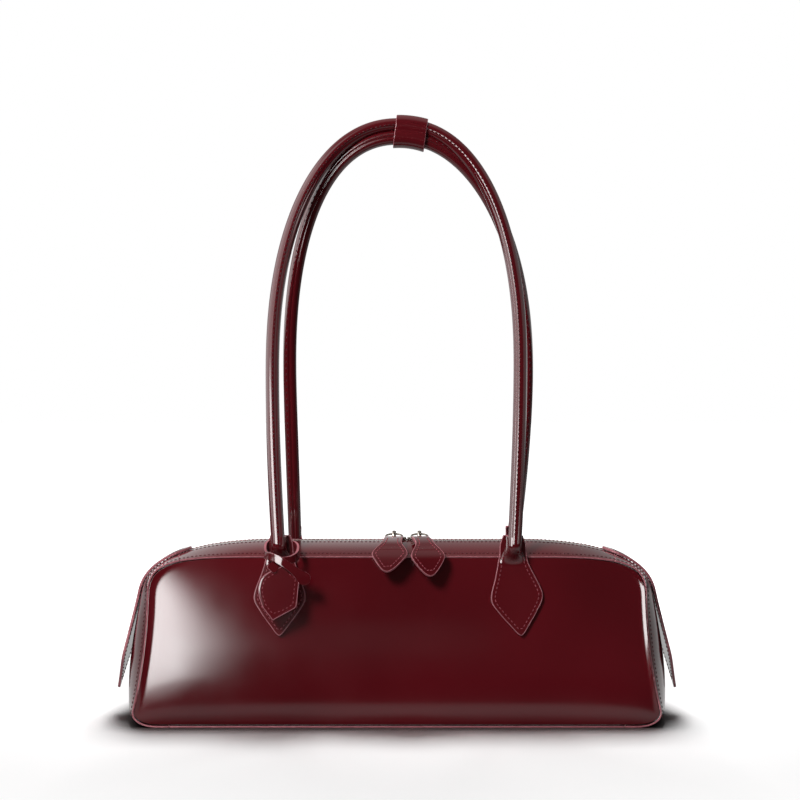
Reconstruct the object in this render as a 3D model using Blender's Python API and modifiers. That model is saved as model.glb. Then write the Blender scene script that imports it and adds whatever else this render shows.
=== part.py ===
"""Zip-top shoulder bag in glossy leather, with two rolled handles.

The front stands towards -Y, +X is to the right and +Z is up. The origin is on
the floor, under the middle of the body. All lengths are in metres.
"""
import math

import bmesh
import bpy
from mathutils import Matrix, Vector
from mathutils.geometry import interpolate_bezier

# Clearance between neighbouring pieces
GAP = 0.0003

# Body: the seam outline is the front edge of the band, the belly is the band's middle line
SEAM_HALF_WIDTH = 0.1616
SEAM_HEIGHT = 0.1038
SIDE_BULGE = 0.0092
TOP_BULGE = 0.0069
BELLY_HALF_WIDTH = SEAM_HALF_WIDTH + SIDE_BULGE
BELLY_HEIGHT = SEAM_HEIGHT + TOP_BULGE
FOOT_DEPTH = 0.0410
TOP_DEPTH = 0.0300
LEATHER = 0.0016
BASE_HALF_LENGTH = 0.1386

# Outlines of one half from the bottom middle to the top middle, as bezier corners,
# each point a share of the half width and of the height
SEAM_SHARES = (
    ((0.000, 0.000), (0.301, 0.000), (0.602, 0.000), (0.903, 0.000)),
    ((0.903, 0.000), (0.965, 0.000), (1.009, 0.039), (1.000, 0.101)),
    ((1.000, 0.101), (0.973, 0.289), (0.953, 0.530), (0.953, 0.771)),
    ((0.953, 0.771), (0.953, 0.963), (0.866, 1.000), (0.538, 1.000)),
    ((0.538, 1.000), (0.360, 1.000), (0.180, 1.000), (0.000, 1.000)),
)
BELLY_SHARES = (
    ((0.000, 0.000), (0.297, 0.000), (0.593, 0.000), (0.890, 0.000)),
    ((0.890, 0.000), (0.954, 0.000), (0.986, 0.027), (0.988, 0.081)),
    ((0.988, 0.081), (1.004, 0.253), (0.979, 0.470), (0.945, 0.714)),
    ((0.945, 0.714), (0.919, 0.912), (0.738, 0.986), (0.509, 1.000)),
    ((0.509, 1.000), (0.340, 1.000), (0.170, 1.000), (0.000, 1.000)),
)
# Fineness of the smooth lines, and the step at which a surface's slope is read
TRACK_STEPS = 40
NORMAL_STEP_SHARE = 0.02
# How many steps each corner of the outline gets on a panel and on the band
PANEL_STEPS = (4, 4, 4, 7, 2)
# Places across one half of the band where its faces bend
BAND_COLUMN_SHARES = (0.0, 0.3, 0.6, 0.8)

# Panels: turned under the band at the seam, and gently crowned
PANEL_PROUD = 0.0014
PANEL_RISE_SHARE = 0.75
PANEL_CROWN = 0.0028
SEAM_TURN = 0.0060
RIM_ROUND = 0.0028
RIM_FLAT = 0.0068
SPINE_HALF = 0.1000
SPINE_HEIGHT = 0.0500
INNER_RING_SHARES = (0.40, 0.90)

# Boards and lining inside the body
BOARD = 0.0008
BOARD_INSET = 0.0140
BOARD_SLACK = 0.00006
BASE_BOARD_HALF_WIDTH = 0.1380
BASE_BOARD_THICKNESS = 0.0020
BASE_BOARD_SIDE_ROOM = 0.0100
LINING = 0.0006
LINING_INSET = 0.0110
LINING_TOP = 0.0930
LINING_CORNER = 0.0100
CORNER_STEPS = 4
LINING_LEVEL_SHARES = (0.0, 0.03, 0.10, 0.30, 0.55, 0.80, 1.0)
LINING_ROUND_SHARES = (0.94, 0.985, 1.0, 1.0, 1.0, 1.0, 1.0)
POCKET_HALF_WIDTH = 0.0750
POCKET_HEIGHT = 0.0550
POCKET_BOTTOM = 0.0240
POCKET_STEPS = 4

# Zip along the top
TOP_STEPS = 22
STRIP_HALF_LENGTH = 0.1380
ZIP_SLOT_HALF = 0.0046
STRIP_TUCK = 0.0060
TAPE = 0.0007
TAPE_EDGE = 0.0006
CHAIN_HALF_LENGTH = 0.1350
CHAIN_OUTER = 0.0031
CHAIN_BEAD = 0.0019
CHAIN_INNER = 0.0006
CHAIN_HEIGHT = 0.0013
TOOTH_WIDTH = 0.0035

# Zip sliders, rings and leather pulls; the sliders meet a little right of the middle
SLIDER_MEETING_X = 0.0062
SLIDER_LENGTH = 0.0135
SLIDER_HALF_WIDTH = 0.0042
SLIDER_TOP_PLATE = 0.0012
SLIDER_BOTTOM_PLATE = 0.0009
SLIDER_POST_HALF = 0.0002
LUG_LENGTH = 0.0026
LUG_OUTWARD = 0.0010
LUG_WALL = 0.0009
LUG_HOLE_HALF = 0.0010
LUG_RISE = 0.0020
RING_WIRE = 0.00058
RING_RADIUS = 0.0052
RING_DROOP = 10.0
RING_SEGMENTS = 18
RING_SIDES = 6
PULL_THICKNESS = 0.0028
PULL_HALF_WIDTH = 0.0105
PULL_OVERHANG = 0.0118
PULL_DROP = 0.0108
PULL_YAW = {"left": -5.0, "right": 11.0}
# Rows of the pull: share of its run from ring to tip, share of its half width
PULL_ROW_SHARES = (
    (0.00, 0.46), (0.08, 0.48), (0.20, 0.60), (0.34, 0.77), (0.48, 0.93),
    (0.56, 1.00), (0.62, 0.97), (0.75, 0.66), (0.88, 0.33), (0.96, 0.16), (1.00, 0.06),
)

# Tabs that cover the two ends of the zip and hang free below
END_TAB_START = 0.1310
END_TAB_LENGTH = 0.0450
END_TAB_THICKNESS = 0.0018
END_TAB_HALF_WIDTH = 0.0090
END_TAB_ROW_SHARES = ((0.00, 0.25), (0.05, 0.55), (0.14, 0.95), (0.22, 1.00), (0.36, 1.00),
                      (0.50, 1.00), (0.64, 1.00), (0.78, 1.00), (0.90, 1.00), (1.00, 1.00))
FLAP_LENGTH = 0.0620
FLAP_THICKNESS = 0.0026
FLAP_HALF_WIDTH = 0.0130
FLAP_LEAN = 13.0
FLAP_ROW_SHARES = ((0.00, 0.69), (0.14, 0.71), (0.34, 0.84), (0.54, 0.97), (0.60, 1.00),
                   (0.66, 0.95), (0.80, 0.60), (0.94, 0.22), (0.985, 0.11), (1.00, 0.04))

# Handles: two rolled arches, the back one a little lower and further right
HANDLE_RADIUS = 0.0040
HANDLE_WALL = 0.0013
HANDLE_SPACING = 0.0715
HANDLE_BELLY = 0.0770
HANDLE_ROOT_HEIGHT = 0.1000
HANDLE_NECK_LENGTH = 0.0400
HANDLE_NECK_HEIGHT = HANDLE_ROOT_HEIGHT + HANDLE_NECK_LENGTH
HANDLE_ARCH_HEIGHT = 0.1500
HANDLE_CREST_HEIGHT = 0.3748
HANDLE_STACK = 0.0092
HANDLE_ARCH_POWER = 2.2
HANDLE_LEG_POWER = 1.6
HANDLE_LEAN_POWER = 0.92
HANDLE_ROOT_SHIFT = {"front": -0.0002, "back": 0.0042}
HANDLE_CREST_SHIFT = {"front": 0.0012, "back": 0.0012}
HANDLE_BOW = {"front": -0.0008, "back": 0.0038}
HANDLE_LEG_STEPS = 4
HANDLE_ARCH_STEPS = 12
NECK_STEPS = 4

# Leather tabs that the handles end in
TAB_THICKNESS = 0.0020
TAB_HALF_WIDTH = 0.0155
TAB_TOP = 0.1160
TAB_TIP = 0.0540
TAB_TILT = {"front_left": 0.0, "front_right": 4.5, "back_left": 2.0, "back_right": 2.0}
TAB_ROW_SHARES = (
    (0.00, 0.38), (0.12, 0.40), (0.20, 0.45), (0.28, 0.59), (0.42, 0.78), (0.56, 0.96),
    (0.62, 1.00), (0.67, 0.96), (0.80, 0.62), (0.92, 0.27), (0.975, 0.12), (1.00, 0.05),
)

# Keeper round both handles at the crest
KEEPER_X = 0.0086
KEEPER_LENGTH = 0.0200
KEEPER_WALL = 0.0012
KEEPER_ROOM = 0.0007
KEEPER_PIVOT_DROP = 0.0570
KEEPER_ARC_STEPS = 6
KEEPER_ROWS = 4

# Hang tag and its looped strap on the front left handle
TAG_LENGTH = 0.0333
TAG_HALF_WIDTH = 0.0114
TAG_THICKNESS = 0.0024
TAG_TILT = 8.0
TAG_LEAN = 4.0
TAG_SHIFT = 0.0059
TAG_ROW_SHARES = ((0.00, 0.22), (0.05, 0.36), (0.25, 0.96), (0.30, 1.00), (0.50, 1.00), (0.68, 1.00),
                  (0.73, 0.95), (0.94, 0.24), (0.985, 0.12), (1.00, 0.05))
STRAP_HALF_WIDTH = 0.0032
STRAP_THICKNESS = 0.0014
STRAP_LOOP_HALF_WIDTH = 0.0118
STRAP_LOOP_DEPTH = 0.0098
STRAP_LOOP_HEIGHT = 0.1060
STRAP_RISE = 0.0070
STRAP_STEPS = 30
# Route of the strap's middle line round the neck of the handle: across, out of the
# panel and up, as shares of the loop's half width, its depth and its rise
STRAP_ROUTE_SHARES = (
    (-0.32, -0.72, -1.16), (0.14, -0.72, -0.56), (0.72, -0.60, 0.10), (1.02, -0.02, 0.62),
    (0.74, 0.72, 0.86), (0.00, 1.02, 0.92), (-0.74, 0.72, 0.84), (-1.04, -0.10, 0.50),
    (-0.76, -0.84, 0.00), (-0.10, -1.24, -0.62), (0.72, -1.26, -1.46), (1.52, -1.27, -2.34),
)
STRAP_FREE_SHARE = 0.28
STRAP_END_SHARES = (0.55, 0.90)

# Finishes: base colour, roughness and metallic value
FINISHES = {
    "box_calf": ((0.075, 0.004, 0.008), 0.22, 0.0),
    "board": ((0.18, 0.13, 0.09), 0.85, 0.0),
    "lining_cloth": ((0.11, 0.035, 0.035), 0.80, 0.0),
    "zip_tape": ((0.05, 0.008, 0.012), 0.75, 0.0),
    "zip_metal": ((0.32, 0.29, 0.26), 0.30, 1.0),
    "cotton_core": ((0.62, 0.57, 0.48), 0.90, 0.0),
}


class Track:
    """A smooth line that can be read at any share of its length."""

    def __init__(self, points):
        self.points = [Vector(point) for point in points]
        self.marks = [0.0]
        for before, after in zip(self.points, self.points[1:]):
            self.marks.append(self.marks[-1] + (after - before).length)
        self.length = self.marks[-1]

    def at(self, share):
        target = min(max(share, 0.0), 1.0) * self.length
        last = len(self.points) - 1
        for index in range(last):
            if self.marks[index + 1] >= target or index == last - 1:
                step = self.marks[index + 1] - self.marks[index]
                part = (target - self.marks[index]) / step
                return self.points[index].lerp(self.points[index + 1], part)
        return self.points[-1].copy()


def corner_track(corner, half_width, height):
    knots = [Vector((across * half_width, 0.0, up * height)) for across, up in corner]
    return Track(interpolate_bezier(*knots, TRACK_STEPS))


def smooth_track(points):
    """Catmull-Rom line through the points."""
    knots = [Vector(point) for point in points]
    ends = [knots[0] * 2 - knots[1]] + knots + [knots[-1] * 2 - knots[-2]]
    line = []
    for index in range(1, len(ends) - 2):
        before, start, stop, after = ends[index - 1:index + 3]
        handle_out = start + (stop - before) / 6
        handle_in = stop - (after - start) / 6
        line += interpolate_bezier(start, handle_out, handle_in, stop, TRACK_STEPS)[:-1]
    return Track(line + [knots[-1]])


SEAM = [corner_track(corner, SEAM_HALF_WIDTH, SEAM_HEIGHT) for corner in SEAM_SHARES]
BELLY = [corner_track(corner, BELLY_HALF_WIDTH, BELLY_HEIGHT) for corner in BELLY_SHARES]
CORNERS = len(SEAM)
LOOP = 2 * CORNERS


def seam_depth(height):
    """Half depth of the body where the band's edge is at this height."""
    return FOOT_DEPTH + (TOP_DEPTH - FOOT_DEPTH) * height / SEAM_HEIGHT


def loop_outlines(station):
    """Seam and belly points at a station of the loop, which starts at the bottom middle."""
    station = station % LOOP
    side = 1.0
    if station > CORNERS:
        station = LOOP - station
        side = -1.0
    corner = min(int(station), CORNERS - 1)
    seam = SEAM[corner].at(station - corner)
    belly = BELLY[corner].at(station - corner)
    seam.x *= side
    belly.x *= side
    return seam, belly


def bare_band(station, share):
    seam, belly = loop_outlines(station)
    point = seam.lerp(belly, 1.0 - share * share)
    point.y = share * seam_depth(seam.z)
    return point


def band_point(station, share, inward=0.0):
    """Point of the band, -1 at the front seam and 1 at the back, moved inward from its face."""
    point = bare_band(station, share)
    if inward:
        step = NORMAL_STEP_SHARE
        along = bare_band(station + step, share) - bare_band(station - step, share)
        across = bare_band(station, share + step) - bare_band(station, share - step)
        point -= across.cross(along).normalized() * inward
    return point


def band_depth(station):
    return seam_depth(loop_outlines(station)[0].z)


def top_station(distance):
    """Station of the loop at this distance from the top middle, to the right when positive."""
    reach = abs(distance)
    top = BELLY[4].length
    if reach <= top:
        station = CORNERS - reach / top
    else:
        station = CORNERS - 1 - (reach - top) / BELLY[3].length
    return station if distance >= 0 else LOOP - station


def face_depth(across, height):
    """How far a panel's face stands out from the middle of the body."""
    level = min(max(height, 0.0), SEAM_HEIGHT) / SEAM_HEIGHT
    crown = PANEL_CROWN * math.cos(math.pi / 2 * across / SEAM_HALF_WIDTH)
    return seam_depth(height) + PANEL_PROUD + crown * math.sin(math.pi * level)


def spine_of(point):
    """The nearest point of the long spine that the rings of a panel close in on."""
    return Vector((min(max(point.x, -SPINE_HALF), SPINE_HALF), point.y, SPINE_HEIGHT))


def towards_spine(point, inset):
    """Move an outline point towards the panel's spine by this distance."""
    reach = spine_of(point) - point
    return point + reach * (inset / reach.length)


def half_width_at(height):
    """Half width of the seam outline at this height."""
    widest = 0.0
    for corner in SEAM[1:4]:
        for before, after in zip(corner.points, corner.points[1:]):
            if before.z <= height <= after.z:
                part = (height - before.z) / max(after.z - before.z, GAP * GAP)
                widest = max(widest, before.lerp(after, part).x)
    return widest


def panel_stations():
    half = []
    for corner, steps in enumerate(PANEL_STEPS):
        half += [corner + step / steps for step in range(steps)]
    return half + [CORNERS] + [LOOP - station for station in reversed(half[1:])]


def finish(name):
    if name in bpy.data.materials:
        return bpy.data.materials[name]
    colour, roughness, metallic = FINISHES[name]
    material = bpy.data.materials.new(name)
    material.use_nodes = True
    shader = material.node_tree.nodes["Principled BSDF"]
    shader.inputs["Base Color"].default_value = (*colour, 1.0)
    shader.inputs["Roughness"].default_value = roughness
    shader.inputs["Metallic"].default_value = metallic
    return material


def add_object(name, data, finish_name):
    """Add a part with a material of its own."""
    part = bpy.data.objects.new(name, data)
    material = finish(finish_name).copy()
    material.name = name + "_finish"
    data.materials.append(material)
    bpy.data.collections["bag"].objects.link(part)
    return part


def thicken(part, thickness, offset):
    wall = part.modifiers.new("wall", "SOLIDIFY")
    wall.thickness = thickness
    wall.offset = offset
    wall.use_even_offset = False
    return part


def sheet(name, columns, rows, place, thickness, offset=0.0, closed=False, capped=False,
          turned=False, keep=None, finish_name="box_calf"):
    """A grid laid on a surface and given a wall: place(column, row) gives each corner."""
    grid = bmesh.new()
    bmesh.ops.create_grid(grid, x_segments=columns, y_segments=rows, size=0.5)
    for vert in grid.verts:
        vert.tag = round((vert.co.y + 0.5) * rows) == rows
    if keep:
        spare = []
        for face in grid.faces:
            centre = face.calc_center_median()
            column = int((centre.x + 0.5) * columns)
            row = int((centre.y + 0.5) * rows)
            if not keep(column, row):
                spare.append(face)
        bmesh.ops.delete(grid, geom=spare, context="FACES")
    for vert in grid.verts:
        column = round((vert.co.x + 0.5) * columns)
        row = round((vert.co.y + 0.5) * rows)
        vert.co = place(column, row)
    if closed:
        bmesh.ops.remove_doubles(grid, verts=grid.verts[:], dist=GAP / 100)
    if capped:
        rim = [edge for edge in grid.edges if edge.is_boundary and all(v.tag for v in edge.verts)]
        filled = bmesh.ops.edgeloop_fill(grid, edges=rim)["faces"]
        bmesh.ops.triangulate(grid, faces=filled, ngon_method="BEAUTY")
    if turned:
        bmesh.ops.reverse_faces(grid, faces=grid.faces[:])
    mesh = bpy.data.meshes.new(name)
    grid.to_mesh(mesh)
    grid.free()
    mesh.shade_smooth()
    return thicken(add_object(name, mesh, finish_name), thickness, offset)


def ribbon(name, widths, place, thickness, columns=4, offset=0.0, finish_name="box_calf"):
    """A strip whose rows have these half widths: place(across, row) gives each corner."""
    def corner(column, row):
        return place((2 * column / columns - 1) * widths[row], row)
    return sheet(name, columns, len(widths) - 1, corner, thickness, offset, finish_name=finish_name)


def tube(name, points, radius, finish_name, wall=0.0, sides=1):
    """A round tube along the points, solid or with an open bore."""
    data = bpy.data.curves.new(name, "CURVE")
    data.dimensions = "3D"
    data.bevel_depth = radius
    data.bevel_resolution = sides
    data.use_fill_caps = not wall
    line = data.splines.new("POLY")
    line.points.add(len(points) - 1)
    for knot, point in zip(line.points, points):
        knot.co = (*point, 1.0)
    part = add_object(name, data, finish_name)
    if wall:
        thicken(part, wall, -1.0)
    return part


def plate(name, outline, thickness, place, finish_name):
    """A flat outline with a thickness, turned and moved by a matrix."""
    data = bpy.data.curves.new(name, "CURVE")
    data.dimensions = "2D"
    data.fill_mode = "BOTH"
    data.extrude = thickness / 2
    for loop in outline:
        line = data.splines.new("POLY")
        line.use_cyclic_u = True
        line.points.add(len(loop) - 1)
        for knot, point in zip(line.points, loop):
            knot.co = (point[0], point[1], 0.0, 1.0)
    part = add_object(name, data, finish_name)
    part.matrix_world = place
    return part


def box(name, low, high, finish_name):
    """A box between two corners."""
    low = Vector(low)
    high = Vector(high)
    cube = bmesh.new()
    bmesh.ops.create_cube(cube, size=1.0)
    bmesh.ops.scale(cube, vec=high - low, verts=cube.verts[:])
    bmesh.ops.translate(cube, vec=(low + high) / 2, verts=cube.verts[:])
    mesh = bpy.data.meshes.new(name)
    cube.to_mesh(mesh)
    cube.free()
    return add_object(name, mesh, finish_name)


def combine(part, helper, operation):
    """Fuse a helper solid to a part, or cut it out."""
    step = part.modifiers.new(helper.name, "BOOLEAN")
    step.operation = operation
    step.object = helper
    helper.hide_render = True
    helper.display_type = "WIRE"
    bpy.data.collections["bag"].objects.unlink(helper)
    bpy.data.collections["cutters"].objects.link(helper)


def hang_on(part, pivot):
    """Give a part its origin on its joint's axis."""
    shift = Matrix.Translation(pivot)
    part.data.transform(shift.inverted() @ part.matrix_world)
    part.matrix_world = shift


def joint_empty(name, pivot, carrier=None):
    empty = bpy.data.objects.new(name, None)
    empty.empty_display_size = SEAM_HEIGHT / 10
    empty.location = pivot
    bpy.data.collections["bag"].objects.link(empty)
    if carrier:
        carry(empty, carrier)
    return empty


def carry(part, carrier):
    bpy.context.view_layer.update()
    part.parent = carrier
    part.matrix_parent_inverse = carrier.matrix_world.inverted()


def seam_turn_share():
    """Where the panels' turned edges end, as a share of the half depth."""
    return 1.0 - SEAM_TURN / FOOT_DEPTH


def make_panels():
    stations = panel_stations()
    count = len(stations)
    turn = seam_turn_share()
    rows = 4 + len(INNER_RING_SHARES)
    for name, side in (("front_panel", -1.0), ("back_panel", 1.0)):
        def corner(column, row, side=side):
            station = stations[column % count]
            if row == 0:
                return band_point(station, side * turn, LEATHER + GAP)
            if row == 1:
                return band_point(station, side * (1.0 + turn) / 2, LEATHER + GAP)
            edge = band_point(station, side, LEATHER + GAP)
            if row == 2:
                return edge
            if row == 3:
                point = towards_spine(edge, RIM_ROUND)
                point.y = side * (seam_depth(point.z) + PANEL_PROUD * PANEL_RISE_SHARE)
                return point
            start = towards_spine(edge, RIM_FLAT)
            if row > 4:
                start = start.lerp(spine_of(edge), INNER_RING_SHARES[row - 5])
            start.y = side * face_depth(start.x, start.z)
            return start
        sheet(name, count, rows, corner, LEATHER, -1.0, closed=True, capped=True, turned=side > 0)


def make_boards():
    """Stiffening boards behind the two panels, and the loose board over the base."""
    stations = panel_stations()
    count = len(stations)
    back_off = LEATHER + 2 * GAP + BOARD_SLACK
    for name, side in (("front_stiffener", -1.0), ("back_stiffener", 1.0)):
        def corner(column, row, side=side):
            edge = band_point(stations[column % count], side, LEATHER + GAP)
            point = towards_spine(edge, BOARD_INSET)
            if row:
                point = point.lerp(spine_of(edge), INNER_RING_SHARES[row - 1])
            point.y = side * (face_depth(point.x, point.z) - back_off)
            return point
        sheet(name, count, len(INNER_RING_SHARES), corner, BOARD, -1.0, closed=True, capped=True,
              turned=side > 0, finish_name="board")
    half_depth = FOOT_DEPTH - BASE_BOARD_SIDE_ROOM
    outline = rounded_corners(BASE_BOARD_HALF_WIDTH, half_depth, LINING_CORNER)
    middle = LEATHER + GAP + BASE_BOARD_THICKNESS / 2
    plate("base_board", [outline], BASE_BOARD_THICKNESS, Matrix.Translation((0.0, 0.0, middle)), "board")


def rounded_corners(half_width, half_depth, radius):
    """Outline of a rectangle with round corners, anticlockwise from the right."""
    points = []
    for quarter in range(4):
        across = (half_width - radius) * (1.0 if quarter in (0, 3) else -1.0)
        along = (half_depth - radius) * (1.0 if quarter in (0, 1) else -1.0)
        for step in range(CORNER_STEPS + 1):
            angle = math.pi / 2 * (quarter + step / CORNER_STEPS)
            points.append((across + radius * math.cos(angle), along + radius * math.sin(angle)))
    return points


def lining_floor():
    return LEATHER + GAP + BASE_BOARD_THICKNESS + GAP


def lining_half_depth(height):
    return seam_depth(height) + PANEL_PROUD - 2 * (LEATHER + GAP) - BOARD - GAP


def make_lining():
    """Open cloth bag inside the body, with a slip pocket on its back wall."""
    floor = lining_floor()
    count = 4 * (CORNER_STEPS + 1)
    rows = len(LINING_LEVEL_SHARES)

    def corner(column, row):
        share = LINING_LEVEL_SHARES[max(row - 1, 0)]
        height = floor + (LINING_TOP - floor) * share
        round_off = LINING_ROUND_SHARES[max(row - 1, 0)]
        half_width = (half_width_at(height + LINING_CORNER) - LINING_INSET) * round_off
        half_depth = lining_half_depth(height) * round_off
        if row == 0:
            half_width -= LINING_CORNER / 2
            half_depth -= LINING_CORNER / 2
        across, along = rounded_corners(half_width, half_depth, LINING_CORNER)[column % count]
        return Vector((across, along, height))
    lining = sheet("lining", count, rows, corner, LINING, -1.0, closed=True, finish_name="lining_cloth")
    shell = bmesh.new()
    shell.from_mesh(lining.data)
    lowest = min(vert.co.z for vert in shell.verts)
    hem = [edge for edge in shell.edges
           if edge.is_boundary and all(vert.co.z - lowest < GAP for vert in edge.verts)]
    bmesh.ops.edgeloop_fill(shell, edges=hem)
    bmesh.ops.recalc_face_normals(shell, faces=shell.faces[:])
    shell.to_mesh(lining.data)
    shell.free()

    def pocket_corner(column, row):
        across = (2 * column / POCKET_STEPS - 1) * POCKET_HALF_WIDTH
        height = POCKET_BOTTOM + POCKET_HEIGHT * row / POCKET_STEPS
        return Vector((across, lining_half_depth(height) - LINING - GAP, height))
    sheet("slip_pocket", POCKET_STEPS, POCKET_STEPS, pocket_corner, LINING, -1.0, turned=True,
          finish_name="lining_cloth")


def make_band():
    """The band round the panels: a base and two side gussets."""
    base_end = BASE_HALF_LENGTH / SEAM[0].length
    rise_start = (BASE_HALF_LENGTH + GAP) / SEAM[0].length
    strip_end = top_station(STRIP_HALF_LENGTH + GAP)
    turn = seam_turn_share()
    half = list(BAND_COLUMN_SHARES[1:]) + [turn, (1.0 + turn) / 2, 1.0]
    across = [-share for share in reversed(half)] + [0.0] + half

    def make_span(name, stations):
        def corner(column, row):
            return band_point(stations[row], across[column])
        sheet(name, len(across) - 1, len(stations) - 1, corner, LEATHER, -1.0)
    flat = [station for station in panel_stations() if 0 < station < base_end] + [base_end]
    make_span("base_panel", [-station for station in reversed(flat)] + [0.0] + flat)
    steps = [station for station in panel_stations() if rise_start < station < strip_end]
    rise = [rise_start] + steps + [strip_end]
    make_span("gusset_right", rise)
    make_span("gusset_left", [LOOP - station for station in reversed(rise)])


def make_top_strips():
    """The two leather strips beside the zip, with their edges at the zip's slot."""
    for name, side in (("top_strip_front", -1.0), ("top_strip_back", 1.0)):
        def corner(column, row, side=side):
            distance = STRIP_HALF_LENGTH * (1 - 2 * row / TOP_STEPS)
            station = top_station(distance)
            inner = ZIP_SLOT_HALF / band_depth(station)
            share = inner + (1.0 - inner) * column / 4
            return band_point(station, side * share)
        sheet(name, 4, TOP_STEPS, corner, LEATHER, -1.0, turned=side < 0)


def make_zip():
    """Cloth tapes sewn under the strips, and the two rows of metal teeth."""
    for name, side in (("zip_tape_front", -1.0), ("zip_tape_back", 1.0)):
        def corner(column, row, side=side):
            distance = CHAIN_HALF_LENGTH * (1 - 2 * row / TOP_STEPS)
            station = top_station(distance)
            reach = TAPE_EDGE + (ZIP_SLOT_HALF + STRIP_TUCK - TAPE_EDGE) * column / 2
            share = side * reach / band_depth(station)
            return band_point(station, share, LEATHER + GAP)
        sheet(name, 2, TOP_STEPS, corner, TAPE, -1.0, turned=side < 0, finish_name="zip_tape")
    teeth = 2 * round(CHAIN_HALF_LENGTH / TOOTH_WIDTH) + 1
    seat = LEATHER - CHAIN_HEIGHT / 2
    for name, side, parity in (("zip_teeth_front", -1.0, 0), ("zip_teeth_back", 1.0, 1)):
        def tooth_corner(column, row, side=side):
            distance = CHAIN_HALF_LENGTH * (1 - 2 * row / teeth)
            station = top_station(distance)
            reach = (CHAIN_INNER, CHAIN_BEAD, CHAIN_OUTER)[column]
            return band_point(station, side * reach / band_depth(station), seat)

        def is_solid(column, row, parity=parity):
            return column > 0 or row % 2 == parity
        sheet(name, 2, teeth, tooth_corner, CHAIN_HEIGHT, 0.0, turned=side > 0, keep=is_solid,
              finish_name="zip_metal")


def slider_centre(side):
    offset = SLIDER_LENGTH / 2 + GAP
    return SLIDER_MEETING_X + (offset if side == "right" else -offset)


def lug_place(side):
    """Middle of the hole in a slider's lug, which the ring turns in."""
    outward = LUG_OUTWARD if side == "right" else -LUG_OUTWARD
    height = BELLY_HEIGHT + GAP + SLIDER_TOP_PLATE + LUG_RISE
    return Vector((slider_centre(side) + outward, 0.0, height))


def ring_front(side):
    """The foremost point of a ring's middle line, in front of the lug's hole."""
    droop = math.radians(RING_DROOP)
    reach = 2 * RING_RADIUS
    return lug_place(side) - Vector((0.0, reach * math.cos(droop), reach * math.sin(droop)))


def make_slider(side):
    """Top and bottom plate, the post between them, and the lug that holds the ring."""
    centre = slider_centre(side)
    half_length = SLIDER_LENGTH / 2
    half_width = SLIDER_HALF_WIDTH
    chain_top = BELLY_HEIGHT + GAP
    plate_top = chain_top + SLIDER_TOP_PLATE
    tape_bottom = BELLY_HEIGHT - LEATHER - GAP - TAPE - GAP
    floor = tape_bottom - SLIDER_BOTTOM_PLATE
    slider = box("zip_slider_" + side, (centre - half_length, -half_width, chain_top),
                 (centre + half_length, half_width, plate_top), "zip_metal")
    post_half = half_length / 3
    post = box("post_" + side, (centre - post_half, -SLIDER_POST_HALF, floor + SLIDER_BOTTOM_PLATE / 2),
               (centre + post_half, SLIDER_POST_HALF, chain_top + SLIDER_TOP_PLATE / 2), "zip_metal")
    bottom = box("bottom_" + side, (centre - half_length, -half_width, floor),
                 (centre + half_length, half_width, tape_bottom), "zip_metal")
    eye = lug_place(side)
    lug_half = LUG_HOLE_HALF + LUG_WALL
    lug_base = plate_top - SLIDER_TOP_PLATE / 2
    lug = box("lug_" + side, (eye.x - LUG_LENGTH / 2, -lug_half, lug_base),
              (eye.x + LUG_LENGTH / 2, lug_half, eye.z + lug_half), "zip_metal")
    hole = box("lug_hole_" + side, (eye.x - LUG_LENGTH, -LUG_HOLE_HALF, eye.z - LUG_HOLE_HALF),
               (eye.x + LUG_LENGTH, LUG_HOLE_HALF, eye.z + LUG_HOLE_HALF), "zip_metal")
    for helper in (post, bottom, lug):
        combine(slider, helper, "UNION")
    combine(slider, hole, "DIFFERENCE")
    return slider


def make_ring(side, carrier):
    """Wire ring through the lug, lying forward over the strip."""
    bpy.ops.mesh.primitive_torus_add(
        major_segments=RING_SEGMENTS, minor_segments=RING_SIDES,
        major_radius=RING_RADIUS, minor_radius=RING_WIRE)
    ring = bpy.context.object
    ring.name = "pull_ring_" + side
    for home in ring.users_collection:
        home.objects.unlink(ring)
    bpy.data.collections["bag"].objects.link(ring)
    ring.data.materials.append(finish("zip_metal"))
    ring.data.transform(Matrix.Translation((0.0, -RING_RADIUS, 0.0)))
    ring.data.transform(Matrix.Rotation(math.radians(RING_DROOP), 4, "X"))
    ring.data.shade_smooth()
    ring.location = lug_place(side)
    carry(ring, carrier)
    return ring


def pull_track(side):
    """Side view of a pull: from the ring over the seam to its tip in front of the panel."""
    start = ring_front(side) + Vector((0.0, -RING_WIRE - GAP - PULL_THICKNESS / 4, 0.0))
    lift = PULL_THICKNESS / 2 + 5 * GAP
    knee = Vector((start.x, -TOP_DEPTH - GAP, SEAM_HEIGHT + lift + GAP))
    tip = knee + Vector((0.0, -PULL_OVERHANG, -PULL_DROP))
    middle = start.lerp(knee, 0.5) + Vector((0.0, 0.0, GAP))
    return smooth_track((start, middle, knee, tip))


def make_pull(side, carrier):
    """Leather pull on the ring's front."""
    track = pull_track(side)
    pivot = ring_front(side)
    widths = [share * PULL_HALF_WIDTH for _, share in PULL_ROW_SHARES]
    yaw = Matrix.Rotation(math.radians(PULL_YAW[side]), 3, "Z")

    def corner(across, row):
        point = track.at(PULL_ROW_SHARES[row][0])
        point.x += across
        return yaw @ (point - pivot) + pivot
    pull = ribbon("zip_pull_" + side, widths, corner, PULL_THICKNESS)
    hang_on(pull, pivot)
    carry(pull, carrier)


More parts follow.
